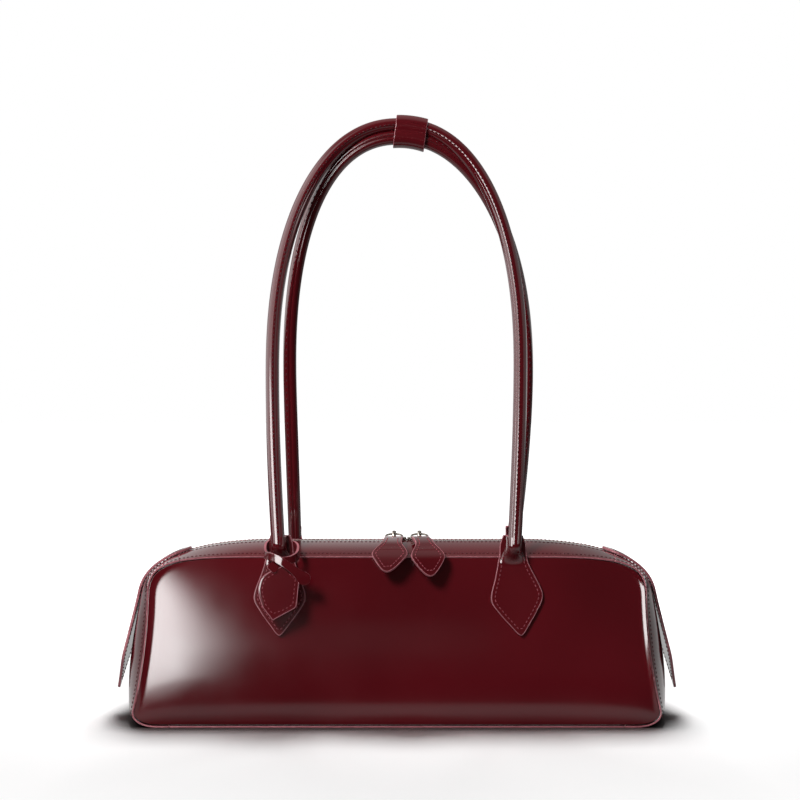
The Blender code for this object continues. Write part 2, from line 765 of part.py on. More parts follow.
def make_end_tab(side):
    """The tab over one end of the zip, and its flap, which folds out about its outer top edge."""
    sign = 1.0 if side == "right" else -1.0
    rows = END_TAB_ROW_SHARES
    lift = -(GAP + END_TAB_THICKNESS / 2)

    def corner(across, row):
        station = top_station(sign * (END_TAB_START + END_TAB_LENGTH * rows[row][0]))
        return band_point(station, across / band_depth(station), lift)
    widths = [share * END_TAB_HALF_WIDTH for _, share in rows]
    ribbon("end_tab_" + side, widths, corner, END_TAB_THICKNESS)
    end_station = top_station(sign * (END_TAB_START + END_TAB_LENGTH + GAP))
    hinge = band_point(end_station, 0.0, -(GAP + FLAP_THICKNESS / 2))
    lean = math.radians(FLAP_LEAN)
    down = Vector((sign * math.sin(lean), 0.0, -math.cos(lean)))

    def flap_corner(across, row):
        point = hinge + down * (FLAP_LENGTH * FLAP_ROW_SHARES[row][0])
        point.y = across
        return point
    flap_widths = [share * FLAP_HALF_WIDTH for _, share in FLAP_ROW_SHARES]
    flap = ribbon("end_flap_" + side, flap_widths, flap_corner, FLAP_THICKNESS)
    fold = hinge + down.cross(Vector((0.0, sign, 0.0))) * (FLAP_THICKNESS / 2)
    hang_on(flap, fold)
    carry(flap, joint_empty("end_flap_%s_hinge" % side, fold))


def root_depth():
    """How far the handle's middle line stands out from the body at its root."""
    face = face_depth(HANDLE_SPACING, HANDLE_ROOT_HEIGHT)
    return face + GAP + TAB_THICKNESS + GAP + HANDLE_RADIUS


def crest_height(which):
    return HANDLE_CREST_HEIGHT - (HANDLE_STACK if which == "back" else 0.0)


def handle_place(which, across, height):
    """Set a point of an arch into its leaning plane."""
    crest = crest_height(which)
    share = (height - HANDLE_ROOT_HEIGHT) / (crest - HANDLE_ROOT_HEIGHT)
    shift = HANDLE_ROOT_SHIFT[which] + (HANDLE_CREST_SHIFT[which] - HANDLE_ROOT_SHIFT[which]) * share
    shift += HANDLE_BOW[which] * 4 * share * (1 - share)
    side = -1.0 if which == "front" else 1.0
    lean = max(1 - share, 0.0) ** HANDLE_LEAN_POWER
    return Vector((across + shift, side * root_depth() * lean, height))


def handle_line(which, foot, leg_steps):
    """Points of a handle's middle line from its left foot over the crest to its right foot."""
    crest = crest_height(which)
    shoulder = crest - HANDLE_ARCH_HEIGHT
    half = []
    for step in range(leg_steps):
        height = foot + (shoulder - foot) * step / leg_steps
        share = (shoulder - height) / (shoulder - HANDLE_ROOT_HEIGHT)
        spread = HANDLE_BELLY + (HANDLE_SPACING - HANDLE_BELLY) * share ** HANDLE_LEG_POWER
        half.append((spread, height))
    for step in range(HANDLE_ARCH_STEPS):
        angle = math.pi / 2 * step / HANDLE_ARCH_STEPS
        across = HANDLE_BELLY * math.cos(angle) ** (2 / HANDLE_ARCH_POWER)
        height = shoulder + HANDLE_ARCH_HEIGHT * math.sin(angle) ** (2 / HANDLE_ARCH_POWER)
        half.append((across, height))
    left = [(-across, height) for across, height in half]
    line = left + [(0.0, crest)] + half[::-1]
    return [handle_place(which, across, height) for across, height in line]


def make_handles(sway):
    """The two rolled arches with their cord cores, and the coreless necks below them."""
    for which in ("front", "back"):
        points = handle_line(which, HANDLE_NECK_HEIGHT, HANDLE_LEG_STEPS)
        for name, radius, wall, look in (
                ("handle_" + which, HANDLE_RADIUS, HANDLE_WALL, "box_calf"),
                ("handle_core_" + which, HANDLE_RADIUS - HANDLE_WALL - GAP, 0.0, "cotton_core")):
            handle = tube(name, points, radius, look, wall, sides=2 if wall else 1)
            hang_on(handle, sway.location)
            carry(handle, sway)
        leg = handle_line(which, HANDLE_ROOT_HEIGHT, 2 * HANDLE_LEG_STEPS)
        span = HANDLE_NECK_HEIGHT - GAP - HANDLE_ROOT_HEIGHT
        for side, line in (("left", Track(leg)), ("right", Track(leg[::-1]))):
            shares = [span / line.length * step / NECK_STEPS for step in range(NECK_STEPS + 1)]
            neck = [line.at(share) for share in shares]
            tube("handle_neck_%s_%s" % (which, side), neck, HANDLE_RADIUS, "box_calf", sides=2)


def make_handle_tab(which, side):
    """The flat diamond that a handle ends in, lying on the panel."""
    name = which + "_" + side
    sign = 1.0 if side == "right" else -1.0
    outward = -1.0 if which == "front" else 1.0
    root_x = sign * HANDLE_SPACING + HANDLE_ROOT_SHIFT[which]
    tilt = math.radians(TAB_TILT[name])
    widths = [share * TAB_HALF_WIDTH for _, share in TAB_ROW_SHARES]
    off_face = GAP + TAB_THICKNESS / 2
    behind_tube = HANDLE_RADIUS + GAP + TAB_THICKNESS / 2

    def corner(across, row):
        height = TAB_TOP + (TAB_TIP - TAB_TOP) * TAB_ROW_SHARES[row][0]
        below = max(HANDLE_ROOT_HEIGHT - height, 0.0)
        x = root_x + across * math.cos(tilt) + sign * below * math.sin(tilt)
        z = height + sign * across * math.sin(tilt)
        if height > HANDLE_ROOT_HEIGHT:
            return Vector((x, outward * (abs(handle_place(which, 0.0, height).y) - behind_tube), z))
        return Vector((x, outward * (face_depth(x, z) + off_face), z))
    ribbon("handle_tab_" + name, widths, corner, TAB_THICKNESS)


def make_keeper(sway):
    """Leather band round both handles near the crest, bent along their arc."""
    middle = HANDLE_CREST_HEIGHT - HANDLE_STACK / 2
    pivot = Vector((HANDLE_CREST_SHIFT["front"], 0.0, middle - KEEPER_PIVOT_DROP))
    turn = math.asin((KEEPER_X - pivot.x) / KEEPER_PIVOT_DROP)
    sweep = KEEPER_LENGTH / KEEPER_PIVOT_DROP
    inner = HANDLE_RADIUS + KEEPER_ROOM
    section = []
    for end in (1.0, -1.0):
        for step in range(KEEPER_ARC_STEPS + 1):
            angle = math.pi * step / KEEPER_ARC_STEPS
            section.append((end * inner * math.cos(angle),
                            end * (HANDLE_STACK / 2 + inner * math.sin(angle))))

    def corner(column, row):
        across, up = section[column % len(section)]
        angle = turn + sweep * (row / KEEPER_ROWS - 0.5)
        return pivot + Matrix.Rotation(angle, 3, "Y") @ Vector((0.0, across, KEEPER_PIVOT_DROP + up))
    keeper = sheet("handle_keeper", len(section), KEEPER_ROWS, corner, KEEPER_WALL, 1.0, closed=True)
    hang_on(keeper, pivot)
    carry(keeper, joint_empty("keeper_slide_axis", pivot, sway))


def strap_centre():
    """Middle of the strap's loop, on the neck of the front left handle."""
    neck = handle_place("front", -HANDLE_SPACING, STRAP_LOOP_HEIGHT)
    return neck + Vector((0.0, TAB_THICKNESS / 2, 0.0))


def make_hang_tag():
    """Strap looped round the handle's neck, and the tag that hangs on it."""
    centre = strap_centre()
    sizes = (STRAP_LOOP_HALF_WIDTH, STRAP_LOOP_DEPTH, STRAP_RISE)
    route = []
    for shares in STRAP_ROUTE_SHARES:
        route.append(centre + Vector([share * size for share, size in zip(shares, sizes)]))
    track = smooth_track(route)
    widths = [STRAP_HALF_WIDTH] * (STRAP_STEPS + 1)
    widths[-1] *= STRAP_END_SHARES[0]
    widths[-2] *= STRAP_END_SHARES[1]
    flat_out = Vector((0.0, -1.0, 0.0))

    def corner(across, row):
        share = row / STRAP_STEPS
        step = 0.5 / STRAP_STEPS
        point = track.at(share)
        along = track.at(share + step) - track.at(share - step)
        radial = point - centre
        radial.z = 0.0
        ends = min(share, 1.0 - share)
        radial = radial.normalized().lerp(flat_out, max(0.0, 1.0 - ends / STRAP_FREE_SHARE))
        wide = along.cross(radial).normalized()
        return point + wide * across
    ribbon("hang_tag_strap", widths, corner, STRAP_THICKNESS, columns=2)

    in_front = -(STRAP_THICKNESS + TAG_THICKNESS) / 2 - GAP
    top = route[0] + Vector((TAG_SHIFT, in_front, STRAP_HALF_WIDTH / 3))
    turn = (Matrix.Rotation(math.radians(TAG_TILT), 3, "Y")
            @ Matrix.Rotation(math.radians(-TAG_LEAN), 3, "X"))
    tag_widths = [share * TAG_HALF_WIDTH for _, share in TAG_ROW_SHARES]

    def tag_corner(across, row):
        return top + turn @ Vector((across, 0.0, -TAG_LENGTH * TAG_ROW_SHARES[row][0]))
    tag = ribbon("hang_tag", tag_widths, tag_corner, TAG_THICKNESS)
    hang_on(tag, top)
    carry(tag, joint_empty("hang_tag_pivot", top))


def main():
    for old in list(bpy.data.objects):
        bpy.data.objects.remove(old)
    for name in ("bag", "cutters"):
        bpy.context.scene.collection.children.link(bpy.data.collections.new(name))
    make_panels()
    make_boards()
    make_lining()
    make_band()
    make_top_strips()
    make_zip()
    for side in ("left", "right"):
        slider = make_slider(side)
        ring = make_ring(side, slider)
        make_pull(side, ring)
        make_end_tab(side)
    sway = joint_empty("handles_sway_axis", (0.0, 0.0, HANDLE_NECK_HEIGHT))
    make_handles(sway)
    for which in ("front", "back"):
        for side in ("left", "right"):
            make_handle_tab(which, side)
    make_keeper(sway)
    make_hang_tag()


main()
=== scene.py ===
# %% [markdown]
# # A zip-top shoulder bag in glossy leather
#
# The bag is a long, low box calf bag with two rolled handles. Its solids, sizes and joints
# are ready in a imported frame. This lesson dresses that frame: each cell makes one piece of
# the real bag, at its real size and place, and gives it a finish made of shader nodes.
# All lengths are in metres, the front faces towards -Y and the floor is at zero.

# %% Load the frame
import math

import bmesh
import bpy
from mathutils import Matrix, Vector
from mathutils.geometry import interpolate_bezier


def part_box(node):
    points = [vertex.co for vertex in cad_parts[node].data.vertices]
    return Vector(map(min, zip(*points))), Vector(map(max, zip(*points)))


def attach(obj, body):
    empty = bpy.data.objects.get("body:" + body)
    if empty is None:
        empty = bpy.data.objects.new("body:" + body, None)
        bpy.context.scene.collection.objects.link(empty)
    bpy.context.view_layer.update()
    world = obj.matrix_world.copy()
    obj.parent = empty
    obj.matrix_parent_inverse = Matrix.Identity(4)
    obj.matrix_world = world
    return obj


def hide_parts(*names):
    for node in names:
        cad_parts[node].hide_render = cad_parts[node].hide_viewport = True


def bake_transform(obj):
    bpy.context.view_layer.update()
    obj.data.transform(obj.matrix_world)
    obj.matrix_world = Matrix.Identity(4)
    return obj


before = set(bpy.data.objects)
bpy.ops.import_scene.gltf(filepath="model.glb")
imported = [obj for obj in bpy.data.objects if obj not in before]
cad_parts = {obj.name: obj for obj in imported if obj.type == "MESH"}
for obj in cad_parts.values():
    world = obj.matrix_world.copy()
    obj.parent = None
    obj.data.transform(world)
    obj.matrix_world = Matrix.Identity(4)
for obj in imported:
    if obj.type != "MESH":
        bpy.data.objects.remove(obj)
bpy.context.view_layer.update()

# %% [markdown]
# ## Camera
#
# The photograph was taken square on to the front, with the eye level with the lower half
# of the handles. A level camera keeps the verticals upright, as a product photographer
# would, and a 30 degree lens at a little under a metre gives the same perspective.

# %% Camera
EYE_DISTANCE = 0.950
EYE_HEIGHT = 0.1994
EYE_ACROSS = 0.0019
VIEW_ANGLE = 30.0

camera_data = bpy.data.cameras.new("camera")
camera_data.angle = math.radians(VIEW_ANGLE)
camera_data.clip_start = EYE_DISTANCE / 100
camera = bpy.data.objects.new("camera", camera_data)
camera.location = (EYE_ACROSS, -EYE_DISTANCE, EYE_HEIGHT)
camera.rotation_euler = (math.pi / 2, 0.0, 0.0)
bpy.context.scene.collection.objects.link(camera)
bpy.context.scene.camera = camera
bpy.context.scene.view_settings.view_transform = "Standard"
print("camera stands", EYE_DISTANCE, "m from the middle of the bag")

# %% [markdown]
# ## Floor and lamps
#
# The bag stands on a white sweep that runs into a white background. For the camera the floor
# is a little brighter than white paint, so in full light it reaches pure white and under the
# bag it keeps the dark, soft shadow. One lamp hangs above and a little behind, which throws
# that shadow forward. A second one from the upper left lights the front, and a low one fills
# the back. Both leave the floor out, so that they don't wash the shadow away. A painted shade,
# from occlusion, darkens the floor's colour close to the base, and the leather mirrors a
# darker floor in front.

# %% Floor and lamps
FLOOR_RADIUS = 12.0
FLOOR_COLOUR = 0.80
FLOOR_SEEN = 1.45
# Reach and strength of the painted contact shade on the floor's colour.
PAINTED_SHADE_REACH = 0.02
PAINTED_SHADE_POWER = 2.0
FLOOR_SQUEEZE = 0.4
DIM_REACH = (0.15, 0.30)
DIM_FRONT = (0.10, -0.05)
DIM_SHARE = 0.94
GLOW_REACH = (0.16, 0.60)
BAG_MIDDLE = Vector((0.0, 0.0, 0.08))


def maths(tree, operation, *values):
    """A Math node fed by numbers or by the outputs of other nodes."""
    node = tree.nodes.new("ShaderNodeMath")
    node.operation = operation
    for slot, value in enumerate(values):
        if isinstance(value, (int, float)):
            node.inputs[slot].default_value = value
        else:
            tree.links.new(value, node.inputs[slot])
    return node.outputs[0]


def fade(tree, value, start, stop, low=0.0, high=1.0):
    """Go smoothly from low to high while the value goes from start to stop."""
    node = tree.nodes.new("ShaderNodeMapRange")
    node.interpolation_type = "SMOOTHSTEP"
    for socket, number in (("From Min", start), ("From Max", stop), ("To Min", low), ("To Max", high)):
        node.inputs[socket].default_value = number
    tree.links.new(value, node.inputs["Value"])
    return node.outputs["Result"]


def split(tree, coordinates):
    parts = tree.nodes.new("ShaderNodeSeparateXYZ")
    tree.links.new(coordinates, parts.inputs[0])
    return parts.outputs


def make_floor():
    disc = bmesh.new()
    bmesh.ops.create_circle(disc, cap_ends=True, segments=64, radius=FLOOR_RADIUS)
    mesh = bpy.data.meshes.new("floor")
    disc.to_mesh(mesh)
    disc.free()
    floor = bpy.data.objects.new("floor", mesh)
    bpy.context.scene.collection.objects.link(floor)
    material = bpy.data.materials.new("white_floor")
    material.use_nodes = True
    tree = material.node_tree
    tree.nodes.remove(tree.nodes["Principled BSDF"])
    rays = tree.nodes.new("ShaderNodeLightPath").outputs
    where = split(tree, tree.nodes.new("ShaderNodeTexCoord").outputs["Object"])
    across = maths(tree, "POWER", maths(tree, "MULTIPLY", where["X"], FLOOR_SQUEEZE), 2.0)
    reach = maths(tree, "SQRT", maths(tree, "ADD", across, maths(tree, "POWER", where["Y"], 2.0)))
    dimmed = fade(tree, reach, *DIM_REACH, 0.0, DIM_SHARE)
    in_front = maths(tree, "MULTIPLY", dimmed, fade(tree, where["Y"], *DIM_FRONT))
    mirrored = maths(tree, "MULTIPLY", rays["Is Glossy Ray"], in_front)
    paint = maths(tree, "MULTIPLY", FLOOR_COLOUR, maths(tree, "SUBTRACT", 1.0, mirrored))
    extra = maths(tree, "MULTIPLY", rays["Is Camera Ray"], FLOOR_SEEN - FLOOR_COLOUR)
    # Painted shade: the occlusion term darkens the floor's colour where the base stands on it, as a
    # painted contact shadow.
    corner = tree.nodes.new("ShaderNodeAmbientOcclusion")
    corner.inputs["Distance"].default_value = PAINTED_SHADE_REACH
    painted_contact_shade = maths(tree, "POWER", corner.outputs["AO"], PAINTED_SHADE_POWER)
    diffuse = tree.nodes.new("ShaderNodeBsdfDiffuse")
    shown = maths(tree, "MULTIPLY", maths(tree, "ADD", paint, extra), painted_contact_shade)
    tree.links.new(shown, diffuse.inputs["Color"])
    glow = tree.nodes.new("ShaderNodeEmission")
    far = maths(tree, "MULTIPLY", rays["Is Camera Ray"], fade(tree, reach, *GLOW_REACH))
    tree.links.new(far, glow.inputs["Strength"])
    both = tree.nodes.new("ShaderNodeAddShader")
    tree.links.new(diffuse.outputs[0], both.inputs[0])
    tree.links.new(glow.outputs[0], both.inputs[1])
    tree.links.new(both.outputs[0], tree.nodes["Material Output"].inputs["Surface"])
    mesh.materials.append(material)
    return floor


def soft_box(name, place, size, power, spared=None):
    """A square lamp that faces the bag. What the leather mirrors is drawn in the world."""
    data = bpy.data.lights.new(name, "AREA")
    data.size = size
    data.energy = power
    lamp = bpy.data.objects.new(name, data)
    lamp.location = place
    lamp.rotation_euler = (BAG_MIDDLE - Vector(place)).to_track_quat("-Z", "Y").to_euler()
    lamp.visible_glossy = False
    lamp.visible_camera = False
    bpy.context.scene.collection.objects.link(lamp)
    if spared:
        spares = bpy.data.collections.new(name + "_spares")
        spares.objects.link(spared)
        lamp.light_linking.receiver_collection = spares
        spares.collection_objects[0].light_linking.link_state = "EXCLUDE"


floor = make_floor()
soft_box("top_lamp", (0.0, 0.36, 1.14), 0.50, 11.0)
soft_box("front_lamp", (-0.57, -0.85, 0.90), 0.35, 19.0, floor)
soft_box("back_lamp", (0.60, 1.10, 0.40), 0.50, 9.0, floor)
print("lamps:", ", ".join(light.name for light in bpy.data.lights))

# %% [markdown]
# ## The studio seen in the gloss
#
# Polished leather is a dark mirror, so its look is mostly what stands round it. The world
# draws that for glossy rays by direction: pale walls at the sides and behind, a pale
# ceiling, a dark room in front, and one tall, bright panel at the front left. The slanting
# edges of that panel give the highlight on the bag its shape. The camera sees plain white.

# %% Studio world
ROOM_FRONT = 0.03
ROOM_FILL = 0.08
KEY_LIGHT = 14.0
KEY_EDGE = 8.6
KEY_LEVEL = 3.0
KEY_SLANT_ABOVE = 0.42
KEY_SLANT_BELOW = 0.36


def make_room():
    world = bpy.data.worlds.new("room")
    bpy.context.scene.world = world
    world.use_nodes = True
    world.cycles.sampling_method = "NONE"
    tree = world.node_tree
    where = split(tree, tree.nodes.new("ShaderNodeTexCoord").outputs["Generated"])
    # Turn goes from the front towards the left, and rise from the horizon upwards.
    left = maths(tree, "MULTIPLY", where["X"], -1.0)
    ahead = maths(tree, "MULTIPLY", where["Y"], -1.0)
    turn = maths(tree, "DEGREES", maths(tree, "ARCTAN2", left, ahead))
    rise = maths(tree, "DEGREES", maths(tree, "ARCSINE", where["Z"]))
    above = maths(tree, "MAXIMUM", maths(tree, "SUBTRACT", rise, KEY_LEVEL), 0.0)
    below = maths(tree, "MAXIMUM", maths(tree, "SUBTRACT", KEY_LEVEL, rise), 0.0)
    slant = maths(tree, "ADD", maths(tree, "MULTIPLY", above, KEY_SLANT_ABOVE),
                  maths(tree, "MULTIPLY", below, KEY_SLANT_BELOW))
    inside = maths(tree, "SUBTRACT", maths(tree, "SUBTRACT", turn, slant), KEY_EDGE)

    def patch(strength, *fades):
        """One pale area of the room: a strength and the fades that bound it, in degrees."""
        value = strength
        for source, start, stop in fades:
            value = maths(tree, "MULTIPLY", value, fade(tree, source, start, stop))
        return value
    patches = (
        patch(KEY_LIGHT, (inside, -3.0, 3.5), (turn, 50.0, 44.0), (rise, 16.0, 13.0)),
        patch(2.0, (turn, 8.0, 20.0), (turn, 60.0, 50.0), (rise, 13.0, 16.0), (rise, 60.0, 40.0)),
        patch(0.1, (turn, -5.0, -1.0), (turn, 12.0, 4.0), (rise, 1.0, 2.5), (rise, 6.0, 4.0)),
        patch(2.6, (turn, 50.0, 60.0), (turn, 125.0, 110.0), (rise, 60.0, 40.0)),
        patch(0.3, (turn, 110.0, 125.0), (rise, 60.0, 30.0)),
        patch(0.28, (maths(tree, "ABSOLUTE", turn), 105.0, 125.0), (rise, 70.0, 35.0)),
        patch(0.6, (maths(tree, "ABSOLUTE", turn), 105.0, 125.0), (rise, 8.0, 3.0), (rise, -12.0, -6.0)),
        patch(0.5, (turn, -45.0, -62.0), (turn, -125.0, -110.0), (rise, 60.0, 40.0)),
        patch(4.0, (turn, -40.0, -46.0), (turn, -62.0, -54.0), (rise, 6.0, 4.0)),
        patch(0.45, (rise, 45.0, 75.0)),
    )
    seen = ROOM_FRONT
    for value in patches:
        seen = maths(tree, "ADD", seen, value)
    rays = tree.nodes.new("ShaderNodeLightPath").outputs
    clear = maths(tree, "MAXIMUM", rays["Is Camera Ray"], rays["Is Transmission Ray"])
    glossy = maths(tree, "MULTIPLY", seen, rays["Is Glossy Ray"])
    fill = maths(tree, "MULTIPLY", ROOM_FILL, rays["Is Diffuse Ray"])
    strength = maths(tree, "ADD", clear, maths(tree, "ADD", glossy, fill))
    background = tree.nodes["Background"]
    background.inputs["Color"].default_value = (1.0, 1.0, 1.0, 1.0)
    tree.links.new(strength, background.inputs["Strength"])
    return len(patches)


print("studio drawn with", make_room(), "pale areas")

# %% [markdown]
# ## Leather, edge paint and thread
#
# Box calf is dyed, polished and nearly smooth: a very fine grain, slow changes of tone, and
# a clear coat over it that gives the sharp gloss. All of it is noise on Object coordinates,
# at three sizes: the tone, the waviness of the hide and the grain.

# %% Finishes of the leather
finishes = {}
TONE_SCALE = 11.0
SHINE_SCALE = 45.0
WAVE_SCALE = 30.0
WAVE_DEPTH = 0.0005
GRAIN_SCALE = 1500.0
GRAIN_DEPTH = 0.00006
COAT_ROUGHNESS = 0.05


def new_finish(name):
    """An empty material with its node tree, its shader and a place to read."""
    material = bpy.data.materials.new(name)
    material.use_nodes = True
    tree = material.node_tree
    where = tree.nodes.new("ShaderNodeTexCoord").outputs["Object"]
    finishes[name] = material
    return tree, tree.nodes["Principled BSDF"], where


def noise(tree, where, scale, detail=2.0):
    texture = tree.nodes.new("ShaderNodeTexNoise")
    texture.inputs["Scale"].default_value = scale
    texture.inputs["Detail"].default_value = detail
    tree.links.new(where, texture.inputs["Vector"])
    return texture.outputs["Fac"]


def two_tone(tree, factor, dark, light, socket):
    """Blend two colours by a factor and send the result to a socket."""
    node = tree.nodes.new("ShaderNodeValToRGB")
    node.color_ramp.interpolation = "EASE"
    for element, place, colour in zip(node.color_ramp.elements, (0.2, 0.8), (dark, light)):
        element.position = place
        element.color = (*colour, 1.0)
    tree.links.new(factor, node.inputs["Fac"])
    tree.links.new(node.outputs["Color"], socket)


def spread(tree, factor, low, high, socket):
    """Stretch a factor between two values and send the result to a socket."""
    tree.links.new(fade(tree, factor, 0.2, 0.8, low, high), socket)


def bump(tree, shader, height, depth, strength=1.0, below=None):
    """Raise the surface by a height, over an earlier bump if one is given."""
    relief = tree.nodes.new("ShaderNodeBump")
    relief.inputs["Distance"].default_value = depth
    relief.inputs["Strength"].default_value = strength
    tree.links.new(height, relief.inputs["Height"])
    if below:
        tree.links.new(below, relief.inputs["Normal"])
    tree.links.new(relief.outputs["Normal"], shader.inputs["Normal"])
    return relief.outputs["Normal"]


def leather_finish(name, dark, light, rough, gloss=0.35):
    tree, shader, where = new_finish(name)
    two_tone(tree, noise(tree, where, TONE_SCALE, 1.0), dark, light, shader.inputs["Base Color"])
    spread(tree, noise(tree, where, SHINE_SCALE), rough[0], rough[1], shader.inputs["Roughness"])
    waves = bump(tree, shader, noise(tree, where, WAVE_SCALE, 1.0), WAVE_DEPTH, 0.10)
    bump(tree, shader, noise(tree, where, GRAIN_SCALE, 3.0), GRAIN_DEPTH, 0.08, waves)
    shader.inputs["Coat Weight"].default_value = gloss
    shader.inputs["Coat Roughness"].default_value = COAT_ROUGHNESS


leather_finish("calf", (0.057, 0.0026, 0.0046), (0.086, 0.0040, 0.0072), (0.08, 0.12))
leather_finish("handle_calf", (0.060, 0.0030, 0.0052), (0.082, 0.0046, 0.0074), (0.09, 0.14))


def plain_finish(name, dark, light, rough, scale=300.0, depth=0.0001):
    """A dull finish with a grain: edge paint, thread, board or cord."""
    tree, shader, where = new_finish(name)
    grain = noise(tree, where, scale)
    two_tone(tree, grain, dark, light, shader.inputs["Base Color"])
    spread(tree, grain, rough[0], rough[1], shader.inputs["Roughness"])
    bump(tree, shader, grain, depth, 0.5)


plain_finish("edge_paint", (0.22, 0.070, 0.084), (0.30, 0.105, 0.122), (0.35, 0.50))
# One thread in two copies. thread is its lit copy, for the tabs, tag, end tabs and pulls. The seam thread
# is painted much darker, as painted shade on the stitches sunk in the band's seams and along the handles.
plain_finish("thread", (0.15, 0.024, 0.034), (0.24, 0.050, 0.064), (0.50, 0.70), 900.0)
plain_finish("shaded_seam_thread", (0.026, 0.005, 0.007), (0.050, 0.011, 0.014), (0.60, 0.80), 900.0)
plain_finish("fibreboard", (0.13, 0.095, 0.065), (0.22, 0.17, 0.12), (0.8, 0.95))
plain_finish("cotton", (0.55, 0.50, 0.42), (0.70, 0.66, 0.58), (0.85, 0.95), 700.0)
print(len(finishes), "finishes so far")

# %% [markdown]
# ## Metal and cloth
#
# The zip's metal is a dark polished nickel, with faint scratches that blur its reflections.
# The tapes and the lining are woven: two crossed wave textures make the over and under of
# the threads, at the scale of real yarn.

# %% Finishes of metal and cloth


def metal_finish(name, dark, light, rough):
    tree, shader, where = new_finish(name)
    two_tone(tree, noise(tree, where, 220.0), dark, light, shader.inputs["Base Color"])
    spread(tree, noise(tree, where, 600.0, 4.0), rough[0], rough[1], shader.inputs["Roughness"])
    bump(tree, shader, noise(tree, where, 1800.0), 0.00003, 0.3)
    shader.inputs["Metallic"].default_value = 1.0


def cloth_finish(name, dark, light, yarn):
    tree, shader, where = new_finish(name)
    weave = tree.nodes.new("ShaderNodeMath")
    weave.operation = "MULTIPLY"
    for slot, direction in enumerate(("X", "Z")):
        wave = tree.nodes.new("ShaderNodeTexWave")
        wave.bands_direction = direction
        wave.inputs["Scale"].default_value = 1.0 / yarn
        wave.inputs["Distortion"].default_value = 0.4
        tree.links.new(where, wave.inputs["Vector"])
        tree.links.new(wave.outputs["Fac"], weave.inputs[slot])
    two_tone(tree, weave.outputs[0], dark, light, shader.inputs["Base Color"])
    bump(tree, shader, weave.outputs[0], yarn / 10, 0.6)
    shader.inputs["Roughness"].default_value = 0.85
    shader.inputs["Sheen Weight"].default_value = 0.15


metal_finish("nickel", (0.34, 0.30, 0.26), (0.55, 0.50, 0.44), (0.14, 0.30))
cloth_finish("tape_weave", (0.018, 0.004, 0.006), (0.045, 0.012, 0.016), 0.0025)
cloth_finish("lining_twill", (0.09, 0.030, 0.030), (0.16, 0.060, 0.058), 0.0030)
print(len(finishes), "finishes")

# %% [markdown]
# ## Smooth lines
#
# The bag's outline is drawn once and read everywhere. The seam line is where the front
# panel meets the band round it, and the belly line is the band's middle, which swells out.
# Each is five bezier curves from the bottom middle to the top middle, as shares of the
# half width and the height. Reading them by length keeps the spacing of the mesh even.

# %% Smooth lines
GAP = 0.0003
SEAM_HALF_WIDTH = 0.1616
SEAM_HEIGHT = 0.1038
SIDE_BULGE = 0.0092
TOP_BULGE = 0.0069
FOOT_DEPTH = 0.0410
TOP_DEPTH = 0.0300
LEATHER = 0.0016
TRACK_STEPS = 40
SLOPE_STEP = 0.02
SEAM_SHARES = (
    ((0.000, 0.000), (0.301, 0.000), (0.602, 0.000), (0.903, 0.000)),
    ((0.903, 0.000), (0.965, 0.000), (1.009, 0.039), (1.000, 0.101)),
    ((1.000, 0.101), (0.973, 0.289), (0.953, 0.530), (0.953, 0.771)),
    ((0.953, 0.771), (0.953, 0.963), (0.866, 1.000), (0.538, 1.000)),
    ((0.538, 1.000), (0.360, 1.000), (0.180, 1.000), (0.000, 1.000)),
)
BELLY_SHARES = (
    ((0.000, 0.000), (0.297, 0.000), (0.593, 0.000), (0.890, 0.000)),
    ((0.890, 0.000), (0.954, 0.000), (0.986, 0.027), (0.988, 0.081)),
    ((0.988, 0.081), (1.004, 0.253), (0.979, 0.470), (0.945, 0.714)),
    ((0.945, 0.714), (0.919, 0.912), (0.738, 0.986), (0.509, 1.000)),
    ((0.509, 1.000), (0.340, 1.000), (0.170, 1.000), (0.000, 1.000)),
)
CORNERS = 5
LOOP = 2 * CORNERS
FLAT_SHARE = 0.538
FOOT_SHARE = 0.903
SIDES = (("left", -1.0), ("right", 1.0))
FACES = (("front", -1.0), ("back", 1.0))


class Track:
    """A line that can be read at any share of its length."""

    def __init__(self, points):
        self.points = [Vector(point) for point in points]
        self.marks = [0.0]
        for before, after in zip(self.points, self.points[1:]):
            self.marks.append(self.marks[-1] + (after - before).length)
        self.length = self.marks[-1]

    def at(self, share):
        target = min(max(share, 0.0), 1.0) * self.length
        last = len(self.points) - 2
        index = next((i for i in range(last) if self.marks[i + 1] >= target), last)
        part = (target - self.marks[index]) / (self.marks[index + 1] - self.marks[index])
        return self.points[index].lerp(self.points[index + 1], part)

    def slope(self, share):
        return (self.at(share + SLOPE_STEP) - self.at(share - SLOPE_STEP)).normalized()


def corner_track(corner, half_width, height):
    knots = [Vector((across * half_width, 0.0, up * height)) for across, up in corner]
    return Track(interpolate_bezier(*knots, TRACK_STEPS))


def smooth_track(points):
    """Catmull-Rom line through the points."""
    knots = [Vector(point) for point in points]
    ends = [knots[0] * 2 - knots[1]] + knots + [knots[-1] * 2 - knots[-2]]
    line = []
    for index in range(1, len(ends) - 2):
        before, start, stop, after = ends[index - 1:index + 3]
        line += interpolate_bezier(start, start + (stop - before) / 6,
                                   stop - (after - start) / 6, stop, TRACK_STEPS)[:-1]
    return Track(line + [knots[-1]])


def share_line(table, share):
    """Read a table of (share, value) pairs as a smooth curve."""
    knots = [(table[0][0] * 2 - table[1][0], table[0][1])] + list(table)
    knots += [(table[-1][0] * 2 - table[-2][0], table[-1][1])]
    index = 1
    while index < len(table) - 1 and knots[index + 1][0] < share:
        index += 1
    (x0, y0), (x1, y1), (x2, y2), (x3, y3) = knots[index - 1:index + 3]
    part = min(max((share - x1) / (x2 - x1), 0.0), 1.0)
    rise_in = (y2 - y0) / (x2 - x0) * (x2 - x1)
    rise_out = (y3 - y1) / (x3 - x1) * (x2 - x1)
    square, cube = part ** 2, part ** 3
    return ((2 * cube - 3 * square + 1) * y1 + (cube - 2 * square + part) * rise_in
            + (3 * square - 2 * cube) * y2 + (cube - square) * rise_out)


